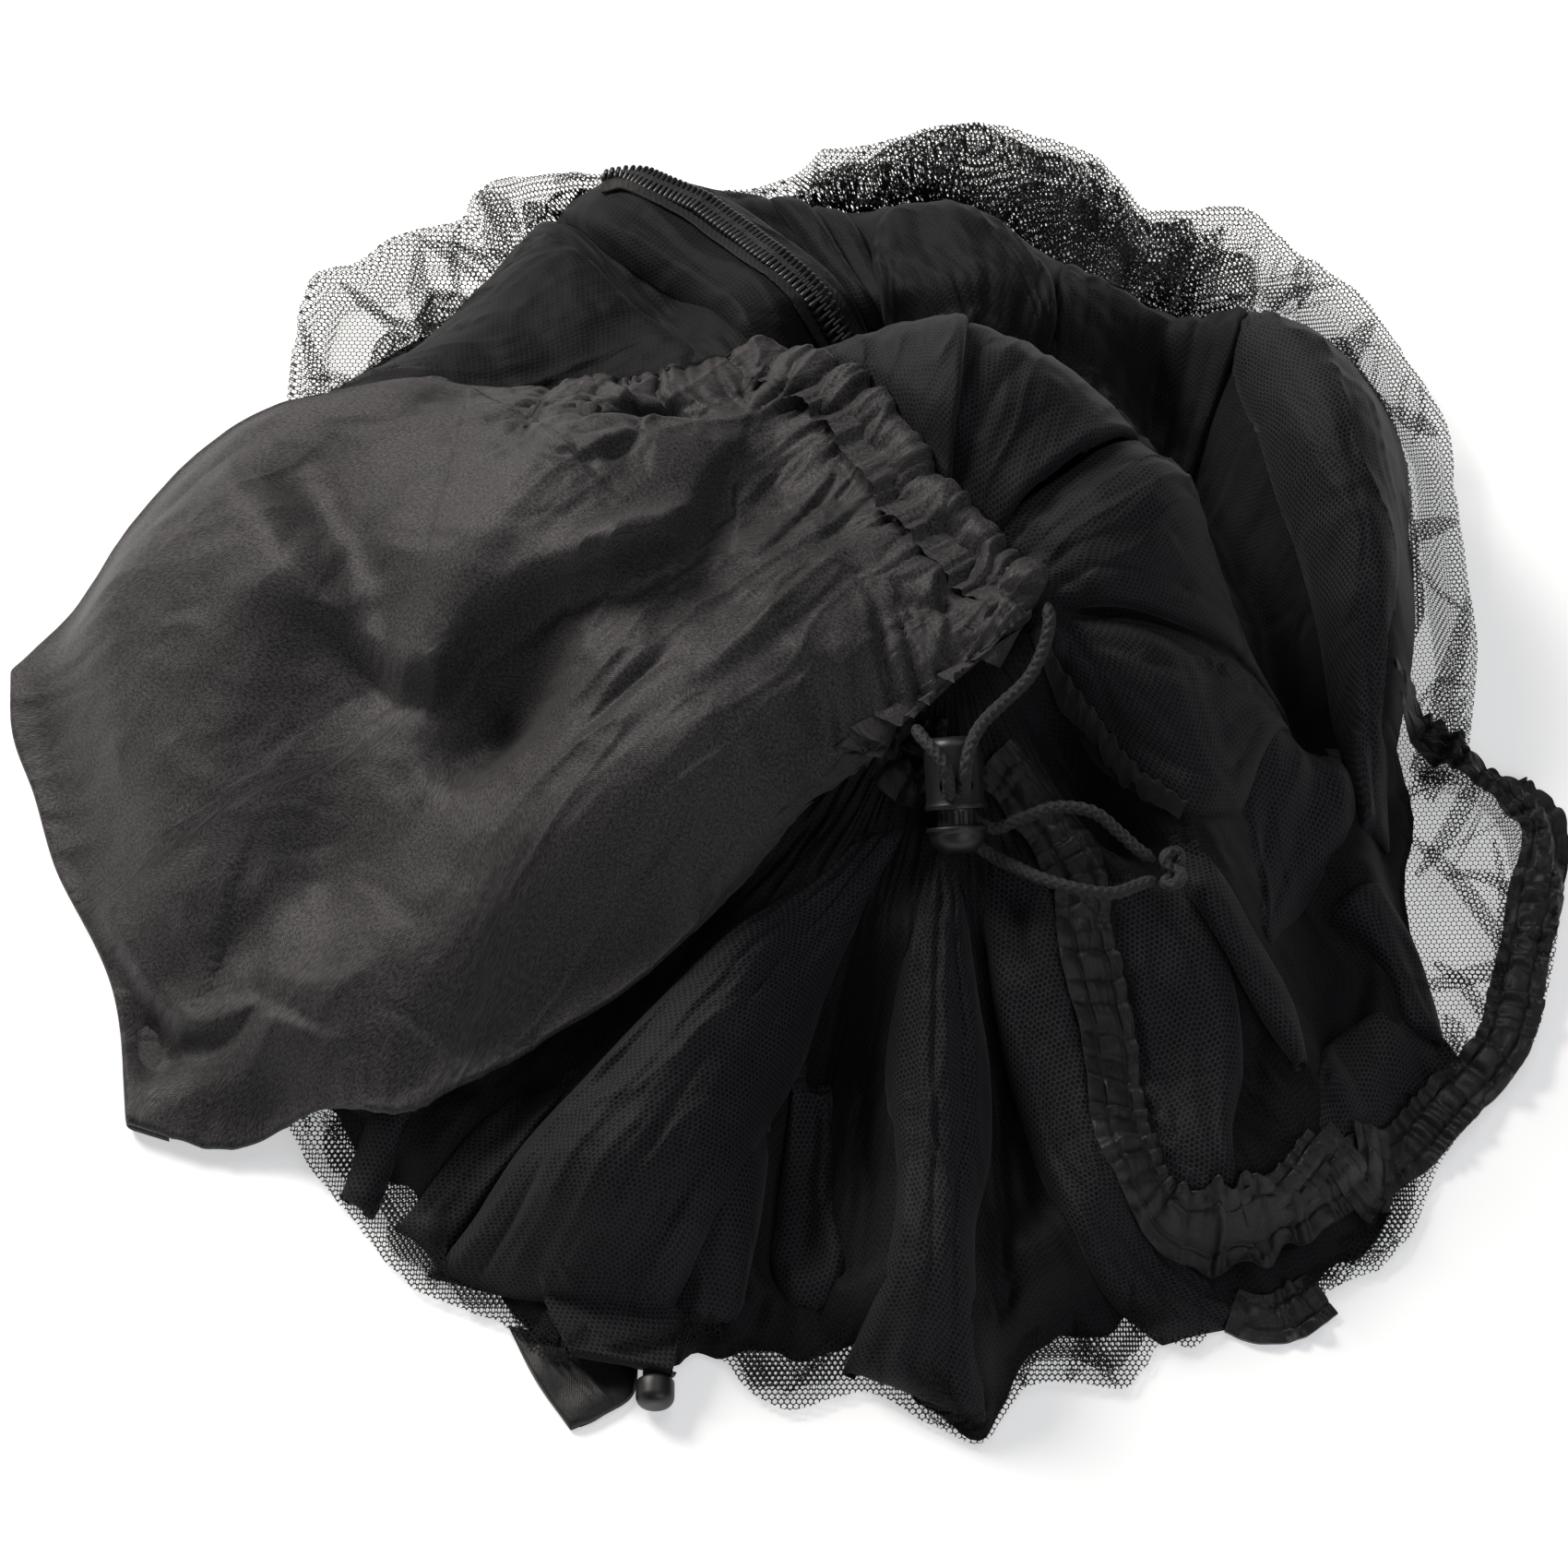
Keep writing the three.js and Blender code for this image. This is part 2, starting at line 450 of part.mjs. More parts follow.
function buildSack() {
  const points = [];
  const levels = [
    { height: 2 * clothThickness + sackGap, inset: false },
    { height: clothThickness + sackGap, inset: true },
    { height: clothThickness, inset: true },
    { height: 0, inset: false },
  ];
  const width = sackColumns + 1;
  for (const level of levels) {
    for (let row = 0; row <= sackRows; row += 1) {
      for (let column = 0; column <= sackColumns; column += 1) {
        const along = row / sackRows;
        const across = column / sackColumns;
        const point = sackUnderside(along, across, column);
        if (level.inset) {
          const length = sackEdges.front.getLength();
          const breadth = sackEdges.closed.getLength();
          const insetAlong = Math.max(along, sackInset / length);
          const edge = sackInset / breadth;
          const plan = sackPlan(insetAlong, Math.min(1 - edge, Math.max(edge, across)));
          point.x = plan.x;
          point.y = plan.y;
        }
        point.z += level.height;
        points.push(point);
      }
    }
  }
  const at = (level, row, column) => (level * (sackRows + 1) + row) * width + column;
  const [outerTop, innerTop, innerLow, outerLow] = [0, 1, 2, 3];
  const last = sackColumns;
  const triangles = [];
  for (let row = 0; row < sackRows; row += 1) {
    for (let column = 0; column < last; column += 1) {
      for (const level of [outerTop, innerLow]) {
        quad(
          triangles, at(level, row, column), at(level, row + 1, column),
          at(level, row + 1, column + 1), at(level, row, column + 1),
        );
      }
      for (const level of [innerTop, outerLow]) {
        quad(
          triangles, at(level, row, column), at(level, row, column + 1),
          at(level, row + 1, column + 1), at(level, row + 1, column),
        );
      }
    }
    quad(
      triangles, at(outerTop, row, 0), at(outerLow, row, 0),
      at(outerLow, row + 1, 0), at(outerTop, row + 1, 0),
    );
    quad(
      triangles, at(outerTop, row + 1, last), at(outerLow, row + 1, last),
      at(outerLow, row, last), at(outerTop, row, last),
    );
    quad(
      triangles, at(innerTop, row, 0), at(innerTop, row + 1, 0),
      at(innerLow, row + 1, 0), at(innerLow, row, 0),
    );
    quad(
      triangles, at(innerTop, row + 1, last), at(innerTop, row, last),
      at(innerLow, row, last), at(innerLow, row + 1, last),
    );
  }
  for (let column = 0; column < last; column += 1) {
    const next = column + 1;
    quad(
      triangles, at(outerTop, 0, next), at(outerLow, 0, next),
      at(outerLow, 0, column), at(outerTop, 0, column),
    );
    quad(
      triangles, at(innerTop, 0, column), at(innerLow, 0, column),
      at(innerLow, 0, next), at(innerTop, 0, next),
    );
    quad(
      triangles, at(outerTop, sackRows, column), at(innerTop, sackRows, column),
      at(innerTop, sackRows, next), at(outerTop, sackRows, next),
    );
    quad(
      triangles, at(innerLow, sackRows, column), at(outerLow, sackRows, column),
      at(outerLow, sackRows, next), at(innerLow, sackRows, next),
    );
  }
  quad(
    triangles, at(outerTop, sackRows, 0), at(outerLow, sackRows, 0),
    at(innerLow, sackRows, 0), at(innerTop, sackRows, 0),
  );
  quad(
    triangles, at(outerTop, sackRows, last), at(innerTop, sackRows, last),
    at(innerLow, sackRows, last), at(outerLow, sackRows, last),
  );
  return solidFrom(points, triangles);
}

// ---- Cord, lock and toggle ------------------------------------------------------------------------
function buildCord(route) {
  const curve = planCurve(route);
  const section = new THREE.Shape();
  for (let side = 0; side < cordSides; side += 1) {
    const angle = (side / cordSides) * 2 * Math.PI;
    const corner = [(cordDiameter / 2) * Math.cos(angle), (cordDiameter / 2) * Math.sin(angle)];
    if (side === 0) section.moveTo(...corner);
    else section.lineTo(...corner);
  }
  const steps = Math.max(3, Math.round(curve.getLength() / cordStep));
  return new THREE.ExtrudeGeometry(section, { steps, extrudePath: curve, bevelEnabled: false });
}

function lathe(profile) {
  const outline = profile.map(([radius, height]) => new THREE.Vector2(radius, height));
  return new THREE.LatheGeometry(outline, latheSegments);
}

function toManifold(geometry) {
  const bare = geometry.clone();
  bare.deleteAttribute('normal');
  bare.deleteAttribute('uv');
  const merged = mergeVertices(bare, 1e-4);
  const vertProperties = new Float32Array(merged.getAttribute('position').array);
  const triVerts = new Uint32Array(merged.getIndex().array);
  return new wasm.Manifold(new wasm.Mesh({ numProp: 3, vertProperties, triVerts }));
}

function fromManifold(solid) {
  const mesh = solid.getMesh();
  const geometry = new THREE.BufferGeometry();
  geometry.setAttribute('position', new THREE.BufferAttribute(new Float32Array(mesh.vertProperties), 3));
  geometry.setIndex(new THREE.BufferAttribute(new Uint32Array(mesh.triVerts), 1));
  return geometry;
}

// A slot through the lock from front to back, wide enough for two strands side by side.
function lockSlot(height, width) {
  const half = (lockSlotLength - lockSlotWidth) / 2;
  const outline = new THREE.Shape();
  outline.absarc(half, 0, width / 2, -Math.PI / 2, Math.PI / 2);
  outline.absarc(-half, 0, width / 2, Math.PI / 2, (3 * Math.PI) / 2);
  const depth = 4 * lockRadius;
  const slot = new THREE.ExtrudeGeometry(outline, { depth, bevelEnabled: false, curveSegments: 6 });
  slot.translate(0, 0, -depth / 2);
  slot.translate(0, height, 0);
  return slot;
}

// Both lock pieces are turned about their own +Y, which runs from the button up the barrel.
function buildBarrel() {
  const shell = lathe([
    [0, lockLength], [lockRadius - 2.4, lockLength - 0.2], [lockRadius - 0.8, lockLength - 1],
    [lockRadius, lockLength - 2.8], [lockRadius, 1.6], [lockRadius + lockRim, 1.1], [lockRadius + lockRim, 0],
    [lockBore, 0], [lockBore, lockBoreDepth], [0, lockBoreDepth],
  ].reverse());
  return fromManifold(toManifold(shell).subtract(toManifold(lockSlot(lockSlotPlace, lockSlotWidth))));
}

function buildButton() {
  const cap = lockRadius + lockRim;
  return lathe([
    [0, stemDepth], [stemRadius, stemDepth], [stemRadius, -buttonGap], [cap, -buttonGap],
    [cap, -buttonGap - 1], [cap - 0.5, -buttonGap - 2.6], [cap - 2.2, -buttonGap - 4.6],
    [0, -buttonGap - buttonCapHeight],
  ].reverse());
}

const group = new THREE.Group();
function add(name, geometry, material) {
  const mesh = new THREE.Mesh(geometry, material);
  mesh.name = name;
  group.add(mesh);
  return mesh;
}

const finish = (color, roughness) => new THREE.MeshStandardMaterial({ color, roughness, metalness: 0 });
add('net', heap, finish('#202022', 0.9));
add('stuff_sack', buildSack(), finish('#39373a', 0.75));
const half = casingWidth / 2;
const taffeta = finish('#262527', 0.7);
const casing = { offsets: [-half, 0, half], thickness: casingThickness, gather: casingGather };
const shortCasing = { ...casing, steps: 8, clearance: shortLayClearance };
add('hem_casing', buildStrip({ ...casing, route: casingRoute, steps: 56 }), taffeta);
add('hem_casing_corner', buildStrip({ ...shortCasing, route: casingCornerRoute }), taffeta);
add('hem_casing_tail', buildStrip({ ...shortCasing, route: casingTailRoute }), taffeta);
const tapeEdges = [zipTapeSplit / 2, zipChainWidth / 2, zipTapeWidth / 2, zipTapeWidth];
const zipRails = [-zipTapeWidth, -zipTapeWidth / 2, 0, zipTapeWidth / 2, zipTapeWidth];
const zip = { route: zipRoute, rails: zipRails, steps: 18, clearance: shortLayClearance };
const tape = { ...zip, thickness: zipTapeThickness };
const twill = finish('#1d1c1e', 0.8);
add('zip_tape_left', buildStrip({ ...tape, offsets: tapeEdges }), twill);
add('zip_tape_right', buildStrip({ ...tape, offsets: tapeEdges.map((d) => -d).reverse() }), twill);
const chainEdges = [-zipChainWidth / 2, -zipTapeSplit / 2, zipTapeSplit / 2, zipChainWidth / 2];
const chain = { ...zip, thickness: zipChainThickness, lift: zipTapeThickness + zipChainGap };
add('zip_chain', buildStrip({ ...chain, offsets: chainEdges }), finish('#1a1a1b', 0.45));

const plastic = finish('#19191a', 0.5);
const braid = finish('#1c1c1d', 0.85);
const lock = new THREE.Group();
lock.position.set(lockPlace.x, lockPlace.y, lockPlace.z);
lock.rotation.set(THREE.MathUtils.degToRad(lockPitch), 0, THREE.MathUtils.degToRad(lockTurn), 'ZXY');
for (const [name, geometry] of [['lock_barrel', buildBarrel()], ['lock_button', buildButton()]]) {
  const piece = new THREE.Mesh(geometry, plastic);
  piece.name = name;
  lock.add(piece);
}
group.add(lock);

add('drawcord_right', buildCord(drawcordRight), braid);
add('drawcord_left', buildCord(drawcordLeft), braid);
add('loop_upper', buildCord(loopUpper), braid);
add('loop_lower', buildCord(loopLower), braid);
const knot = add('cord_knot', new THREE.SphereGeometry(0.5, 16, 10), braid);
knot.position.set(knotPlace.x, knotPlace.y, knotPlace.z);
knot.scale.set(knotSize.x, knotSize.y, knotSize.z);

const toggle = add('casing_toggle', lathe([
  [0, 0], [toggleRadius - 1.4, 0.4], [toggleRadius - 0.3, 1.8], [toggleRadius, 3.6],
  [toggleRadius - 0.5, 6.4], [toggleRadius - 1.6, 7.6], [toggleRadius - 1.4, 8.6], [toggleRadius - 0.6, 9.4],
  [toggleRadius - 0.6, toggleLength - 1], [toggleRadius - 1.4, toggleLength], [0, toggleLength],
]), plastic);
toggle.position.set(togglePlace.x, togglePlace.y, toggleRadius);

export default group;
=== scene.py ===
# A hammock mosquito net pulled half out of its drawstring sack and dropped in a heap.
import math

import bmesh
import bpy
import numpy as np
from mathutils import Matrix, Vector
from mathutils.bvhtree import BVHTree


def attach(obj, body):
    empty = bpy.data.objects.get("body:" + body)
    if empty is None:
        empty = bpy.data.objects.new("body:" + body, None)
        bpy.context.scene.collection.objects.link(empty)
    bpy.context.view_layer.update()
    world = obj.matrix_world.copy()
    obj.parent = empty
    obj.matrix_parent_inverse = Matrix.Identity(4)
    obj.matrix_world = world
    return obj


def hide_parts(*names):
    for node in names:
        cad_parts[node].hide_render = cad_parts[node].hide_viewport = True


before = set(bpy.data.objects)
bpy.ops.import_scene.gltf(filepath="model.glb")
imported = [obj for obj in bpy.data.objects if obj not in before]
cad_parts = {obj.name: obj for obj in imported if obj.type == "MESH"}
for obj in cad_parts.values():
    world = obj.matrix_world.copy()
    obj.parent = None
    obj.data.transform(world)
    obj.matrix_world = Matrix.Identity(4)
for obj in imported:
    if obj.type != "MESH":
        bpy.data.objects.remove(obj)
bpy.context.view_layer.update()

mm = 0.001


def toLinear(hexColour):
    values = [int(hexColour[i:i + 2], 16) / 255 for i in (1, 3, 5)]
    linear = [v / 12.92 if v <= 0.04045 else ((v + 0.055) / 1.055) ** 2.4 for v in values]
    return (*linear, 1.0)


def setInputs(tree, node, values=None, links=None):
    for socket, value in (values or {}).items():
        node.inputs[socket].default_value = value
    for socket, source in (links or {}).items():
        tree.links.new(source, node.inputs[socket])


def addNode(tree, kind, settings=None, values=None, links=None):
    node = tree.nodes.new("ShaderNode" + kind)
    for name, value in (settings or {}).items():
        setattr(node, name, value)
    setInputs(tree, node, values, links)
    return node


def newMaterial(name):
    material = bpy.data.materials.new(name)
    material.use_nodes = True
    tree = material.node_tree
    return material, tree, tree.nodes["Principled BSDF"]


def placeObject(name, data):
    piece = bpy.data.objects.new(name, data)
    bpy.context.scene.collection.objects.link(piece)
    return piece


def fitPiece(piece, slot, *solids, body="heap"):
    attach(piece, body)
    if solids:
        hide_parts(*solids)


def unit(vectors):
    return vectors / np.maximum(np.linalg.norm(vectors, axis=1), 1e-6)[:, None]


def lengthOf(points):
    return np.linalg.norm(np.diff(np.asarray(points, float), axis=0), axis=1).sum()


def runOf(points):
    # the distance run from the first point to each
    return np.r_[0, np.cumsum(np.linalg.norm(np.diff(points, axis=0), axis=1))]


def pointsAt(at, marks, points):
    return np.stack([np.interp(at, marks, column) for column in points.T], axis=-1)


def smoothStep(value):
    value = np.clip(value, 0, 1)
    return value * value * (3 - 2 * value)


def resample(points, count):
    # a smooth curve through given points, cut into even steps
    points = np.asarray(points, float)
    chord = runOf(points)
    slope = np.gradient(points, chord, axis=0)
    fine = np.linspace(0, chord[-1], 24 * len(points))
    i = np.clip(np.searchsorted(chord, fine, side="right") - 1, 0, len(points) - 2)
    gap = (chord[i + 1] - chord[i])[:, None]
    s = (fine - chord[i])[:, None] / gap
    curve = ((2 * s**3 - 3 * s**2 + 1) * points[i] + (s**3 - 2 * s**2 + s) * gap * slope[i]
             + (3 * s**2 - 2 * s**3) * points[i + 1] + (s**3 - s**2) * gap * slope[i + 1])
    run = runOf(curve)
    return pointsAt(np.linspace(0, run[-1], count), run, curve)


tableSize = 64  # random values along each side of a noise table, before it repeats


def blend(table, ix, iy, nextX, nextY, fx, fy):
    low = table[ix, iy] * (1 - fx) + table[nextX, iy] * fx
    high = table[ix, nextY] * (1 - fx) + table[nextX, nextY] * fx
    return low * (1 - fy) + high * fy


def noise(x, y, size, seed):
    # soft random relief between -1 and 1, with bumps about `size` across
    table = np.random.default_rng(seed).uniform(-1, 1, (tableSize, tableSize))
    gx, gy = x / size, y / size
    ix, iy = np.floor(gx).astype(int), np.floor(gy).astype(int)
    cells = (ix % tableSize, iy % tableSize, (ix + 1) % tableSize, (iy + 1) % tableSize)
    return blend(table, *cells, smoothStep(gx - ix), smoothStep(gy - iy))


def pathDistance(x, y, path):
    # distance to a path of (x, y, weight) points, the side (1 on its left), and the weight there
    nearest = np.full(x.shape, np.inf)
    side, weight = np.zeros(x.shape), np.zeros(x.shape)
    for (ax, ay, aw), (bx, by, bw) in zip(path, path[1:]):
        dx, dy = bx - ax, by - ay
        share = np.clip(((x - ax) * dx + (y - ay) * dy) / (dx * dx + dy * dy), 0, 1)
        away = np.hypot(x - ax - share * dx, y - ay - share * dy)
        closer = away < nearest
        nearest = np.where(closer, away, nearest)
        side = np.where(closer, np.sign(dx * (y - ay) - dy * (x - ax)), side)
        weight = np.where(closer, aw + share * (bw - aw), weight)
    return nearest, side, weight


slopeReach = 32  # how far from its path a slope dies out, in mm


def foldRelief(folds, x, y):
    # x and y in mm; a step and the gentler slope have their high cloth on the left of the path
    total = np.zeros(x.shape)
    for kind, width, rise, path in folds:
        if kind != "soft":
            path = [(*path[0][:2], 0)] + path[1:-1] + [(*path[-1][:2], 0)]
        away, side, weight = pathDistance(x, y, path)
        signed, height = side * away, rise * weight
        if kind == "soft":
            total += height * np.exp(-((away / width) ** 2))
        elif kind == "slope":
            total += height * (0.5 + 0.5 * np.tanh(signed / width)) * np.exp(-((away / slopeReach) ** 2))
        else:
            sharp = 0.55 + 0.1 * rise
            total += height * (0.5 + 0.5 * np.tanh(signed / sharp)) * np.exp(-np.maximum(signed, 0) / width)
            dip = np.exp(-((np.minimum(signed, 0) + 1.2 * sharp) / (2 * sharp)) ** 2)
            total -= 0.18 * rise * weight * dip * (signed < 0)
    return total


grid = {"step": 1.5, "half": 204.0, "soften": 2.4}
ticks = np.arange(-grid["half"], grid["half"] + 0.1, grid["step"])
gridX, gridY = np.meshgrid(ticks, ticks, indexing="ij")


def castHeights(name, fromAbove):
    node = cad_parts[name]
    corners = [node.matrix_world @ v.co for v in node.data.vertices]
    tree = BVHTree.FromPolygons(corners, [p.vertices[:] for p in node.data.polygons])
    start, way = (0.3, Vector((0, 0, -1))) if fromAbove else (-0.1, Vector((0, 0, 1)))
    heights = np.full(gridX.shape, np.nan)
    for i, x in enumerate(ticks):
        for j, y in enumerate(ticks):
            hit = tree.ray_cast(Vector((x * mm, y * mm, start)), way)[0]
            if hit is not None:
                heights[i, j] = hit.z / mm
    return heights


def soften(heights, size):
    # Gaussian blur that leaves out the empty cells
    reach = int(3 * size / grid["step"]) + 1
    kernel = np.exp(-0.5 * (np.arange(-reach, reach + 1) * grid["step"] / size) ** 2)
    known = np.isfinite(heights).astype(float)
    filled = np.where(known > 0, heights, 0)

    def blur(field):
        field = np.apply_along_axis(np.convolve, 0, field, kernel, mode="same")
        return np.apply_along_axis(np.convolve, 1, field, kernel, mode="same")

    return blur(filled) / np.maximum(blur(known), 1e-9)


def sample(heights, x, y):
    gx = np.clip((x + grid["half"]) / grid["step"], 0, len(ticks) - 1.001)
    gy = np.clip((y + grid["half"]) / grid["step"], 0, len(ticks) - 1.001)
    ix, iy = gx.astype(int), gy.astype(int)
    return blend(heights, ix, iy, ix + 1, iy + 1, gx - ix, gy - iy)


def cellsOf(x, y):
    # the grid cells nearest to the points
    last = len(ticks) - 1
    return tuple(np.clip(np.rint((c + grid["half"]) / grid["step"]).astype(int), 0, last) for c in (x, y))


netTop = np.nan_to_num(castHeights("net", True))
sackTop = castHeights("stuff_sack", True)
sackUnder = castHeights("stuff_sack", False)
print("stage: heights of the packed solids read")


class ClothMesh:
    # gathers grids of points into one mesh with a UV map in mm
    def __init__(self):
        self.points, self.faces, self.uvs, self.count = [], [], [], 0

    def addGrid(self, points, uv, closed=False, flip=False):
        rows, columns = points.shape[:2]
        index = self.count + np.arange(rows * columns).reshape(rows, columns)
        if closed:
            index = np.concatenate([index, index[:1]], axis=0)
            uv = np.concatenate([uv, uv[:1]], axis=0)

        def corners(values):
            a, b, c, d = values[:-1, :-1], values[1:, :-1], values[1:, 1:], values[:-1, 1:]
            return (a, d, c, b) if flip else (a, b, c, d)

        self.faces.append(np.stack(corners(index), axis=-1).reshape(-1, 4))
        self.uvs.append(np.stack(corners(uv), axis=-2).reshape(-1, 2))
        self.points.append(points.reshape(-1, 3))
        self.count += rows * columns

    def build(self, name, material):
        points = np.concatenate(self.points) * mm
        faces = np.concatenate(self.faces)
        mesh = bpy.data.meshes.new(name)
        mesh.vertices.add(len(points))
        mesh.vertices.foreach_set("co", points.astype(np.float32).ravel())
        mesh.loops.add(faces.size)
        mesh.loops.foreach_set("vertex_index", faces.astype(np.int32).ravel())
        mesh.polygons.add(len(faces))
        mesh.polygons.foreach_set("loop_start", np.arange(0, faces.size, 4, dtype=np.int32))
        mesh.polygons.foreach_set("loop_total", np.full(len(faces), 4, dtype=np.int32))
        mesh.update(calc_edges=True)
        uvs = np.concatenate(self.uvs).astype(np.float32)
        mesh.uv_layers.new(name="clothMm").data.foreach_set("uv", uvs.ravel())
        mesh.polygons.foreach_set("use_smooth", np.ones(len(faces), dtype=bool))
        mesh.validate()
        mesh.materials.append(material)
        return placeObject(name, mesh)


def runLengths(points, axis):
    # distances run along one axis of a grid of points
    steps = np.linalg.norm(np.diff(points, axis=axis), axis=-1)
    lead = np.zeros((1, steps.shape[1]) if axis == 0 else (steps.shape[0], 1))
    return np.concatenate([lead, np.cumsum(steps, axis=axis)], axis=axis)


def clothUv(points):
    # lengths along both ways of a grid, measured from its middle, so that the pattern keeps its size
    down, over = runLengths(points, 0), runLengths(points, 1)
    down = down - down[points.shape[0] // 2][None, :]
    over = over - over[:, points.shape[1] // 2][:, None]
    return np.stack([down, over], axis=-1)


view = {"elevation": 60, "distance": 1.039, "aim": (0, -0.020, 0.022), "lens": 100}
tilt = math.radians(view["elevation"])
camera = placeObject("camera", bpy.data.cameras.new("camera"))
camera.data.lens = view["lens"]
camera.data.sensor_width = 36
camera.data.clip_start = 0.01
camera.location = Vector(view["aim"]) + view["distance"] * Vector((0, -math.cos(tilt), math.sin(tilt)))
camera.rotation_euler = (math.radians(90) - tilt, 0, 0)
bpy.context.scene.camera = camera
bpy.context.scene.view_settings.view_transform = "Standard"

lights = {
    "key": {"at": (-0.95, 0.85, 1.0), "size": 0.6, "power": 26, "colour": "#fffaf4"},
    "fill": {"at": (0.7, -1.1, 1.0), "size": 1.0, "power": 5.5, "colour": "#f4f7ff"},
    "top": {"at": (0.3, 0.5, 1.4), "size": 0.8, "power": 3, "colour": "#ffffff"},
}
for name, light in lights.items():
    lamp = placeObject(name, bpy.data.lights.new(name, "AREA"))
    lamp.data.size = light["size"]
    lamp.data.energy = light["power"]
    lamp.data.color = toLinear(light["colour"])[:3]
    lamp.location = light["at"]
    lamp.rotation_euler = (-Vector(light["at"])).to_track_quat("-Z", "Y").to_euler()
world = bpy.data.worlds.new("studio")
world.use_nodes = True
setInputs(world.node_tree, world.node_tree.nodes["Background"], {0: toLinear("#f7f8fa"), 1: 0.07})
bpy.context.scene.world = world

# white paper sweep: the extra glow is only for what the eye and the holes in the net see of it
paper, paperTree, paperShader = newMaterial("whitePaperSweep")
rays = addNode(paperTree, "LightPath").outputs
seen = rays["Is Camera Ray"]
for way in ("Is Glossy Ray", "Is Transmission Ray"):
    seen = addNode(paperTree, "Math", {"operation": "ADD", "use_clamp": True},
                   links={0: seen, 1: rays[way]}).outputs[0]
glow = addNode(paperTree, "Math", {"operation": "MULTIPLY"}, {1: 0.45}, {0: seen})
setInputs(paperTree, paperShader, {"Base Color": toLinear("#f2f2f2"), "Roughness": 0.9,
                                   "Emission Color": (1, 1, 1, 1)}, {"Emission Strength": glow.outputs[0]})
floorMesh = bpy.data.meshes.new("floor")
floorCorners = [(x, y, -0.0004) for x, y in ((-3, -3), (3, -3), (3, 3), (-3, 3))]
floorMesh.from_pydata(floorCorners, [], [(0, 1, 2, 3)])
floor = placeObject("floor", floorMesh)
floorMesh.materials.append(paper)
print("stage: camera, light and floor set")


def noiseTexture(tree, place, scale, detail, ridged=False, flat=True, **values):
    settings = {"noise_dimensions": "2D" if flat else "3D"}
    if ridged:
        settings["noise_type"] = "RIDGED_MULTIFRACTAL"
    values = {"Scale": scale, "Detail": detail, **values}
    return addNode(tree, "TexNoise", settings, values, {"Vector": place}).outputs[0]


def mixTones(tree, share, first, second):
    return addNode(tree, "MixRGB", {}, {1: toLinear(first), 2: toLinear(second)}, {0: share}).outputs[0]


def remap(tree, value, values, **settings):
    return addNode(tree, "MapRange", settings, values, {"Value": value}).outputs[0]


def bump(tree, height, strength, distance, below=None):
    links = {"Height": height} if below is None else {"Height": height, "Normal": below}
    return addNode(tree, "Bump", {}, {"Strength": strength, "Distance": distance}, links).outputs[0]


def clothLengths(tree):
    return addNode(tree, "UVMap", {"uv_map": "clothMm"}).outputs[0]


hexRow = 0.866  # from one row of holes to the next in a six-sided net, in pitches
waveScale = 0.314  # a wave texture at this scale repeats once in 1 mm


def hexHoles(tree, coordinates, turn, pitch):
    # distance to the nearest hole's middle in a six-sided net, in hole pitches
    turned = addNode(tree, "VectorRotate", {"rotation_type": "Z_AXIS"}, {"Angle": math.radians(turn)},
                     {"Vector": coordinates})
    scaled = addNode(tree, "VectorMath", {"operation": "SCALE"}, {"Scale": 1 / pitch}, {0: turned.outputs[0]})
    shifted = addNode(tree, "VectorMath", {"operation": "ADD"}, {1: (0.5, hexRow, 0)}, {0: scaled.outputs[0]})
    ways = []
    for cell in (scaled, shifted):
        wrapped = addNode(tree, "VectorMath", {"operation": "WRAP"},
                          {1: (0.5, hexRow, 1), 2: (-0.5, -hexRow, -1)}, {0: cell.outputs[0]})
        ways.append(addNode(tree, "VectorMath", {"operation": "LENGTH"}, links={0: wrapped.outputs[0]}))
    return addNode(tree, "Math", {"operation": "MINIMUM"},
                   links={k: way.outputs["Value"] for k, way in enumerate(ways)}).outputs[0]


def tulleMaterial(name, look):
    # warp-knitted polyester bobbinet: six-sided holes between matt twisted threads, so the eye sees a fine
    # grid that goes denser and greyer where layers cross
    material, tree, shader = newMaterial(name)
    lengths = clothLengths(tree)

    def threadShare(turn, pitch, blur):
        near = hexHoles(tree, lengths, turn, pitch)
        return remap(tree, near, {"From Min": look["hole"] - blur, "From Max": look["hole"] + blur},
                     interpolation_type="SMOOTHSTEP")

    threads = threadShare(look["turn"], look["pitch"], 0.05)
    drift = noiseTexture(tree, lengths, 0.05, 3)
    colour = mixTones(tree, drift, look["thread"], look["bright"])
    if look["sheer"]:
        setInputs(tree, shader, links={"Alpha": threads})
    else:
        # the holes are painted: the layer just below, turned a little, shows in them darker than the threads
        # as painted shade, and the holes between its threads are near black, also painted shade; its
        # crossings drift in and out of step
        lower = threadShare(look["turn"] + look["crossing"], look["pitch"] * 1.03, 0.06)
        shadedLower = mixTones(tree, lower, look["gap"], look["under"])
        colour = addNode(tree, "MixRGB", {}, {}, {0: threads, 1: shadedLower, 2: colour}).outputs[0]
    creases = noiseTexture(tree, lengths, 0.045, 4, ridged=True, Roughness=0.5, Distortion=0.8)
    relief = bump(tree, threads, 0.35, 0.0003, bump(tree, creases, look["crumple"], 0.004))
    setInputs(tree, shader, {"Roughness": 0.66, "Specular IOR Level": 0.14, "Sheen Weight": look["sheen"],
                             "Sheen Roughness": 0.45}, {"Base Color": colour, "Normal": relief})
    return material
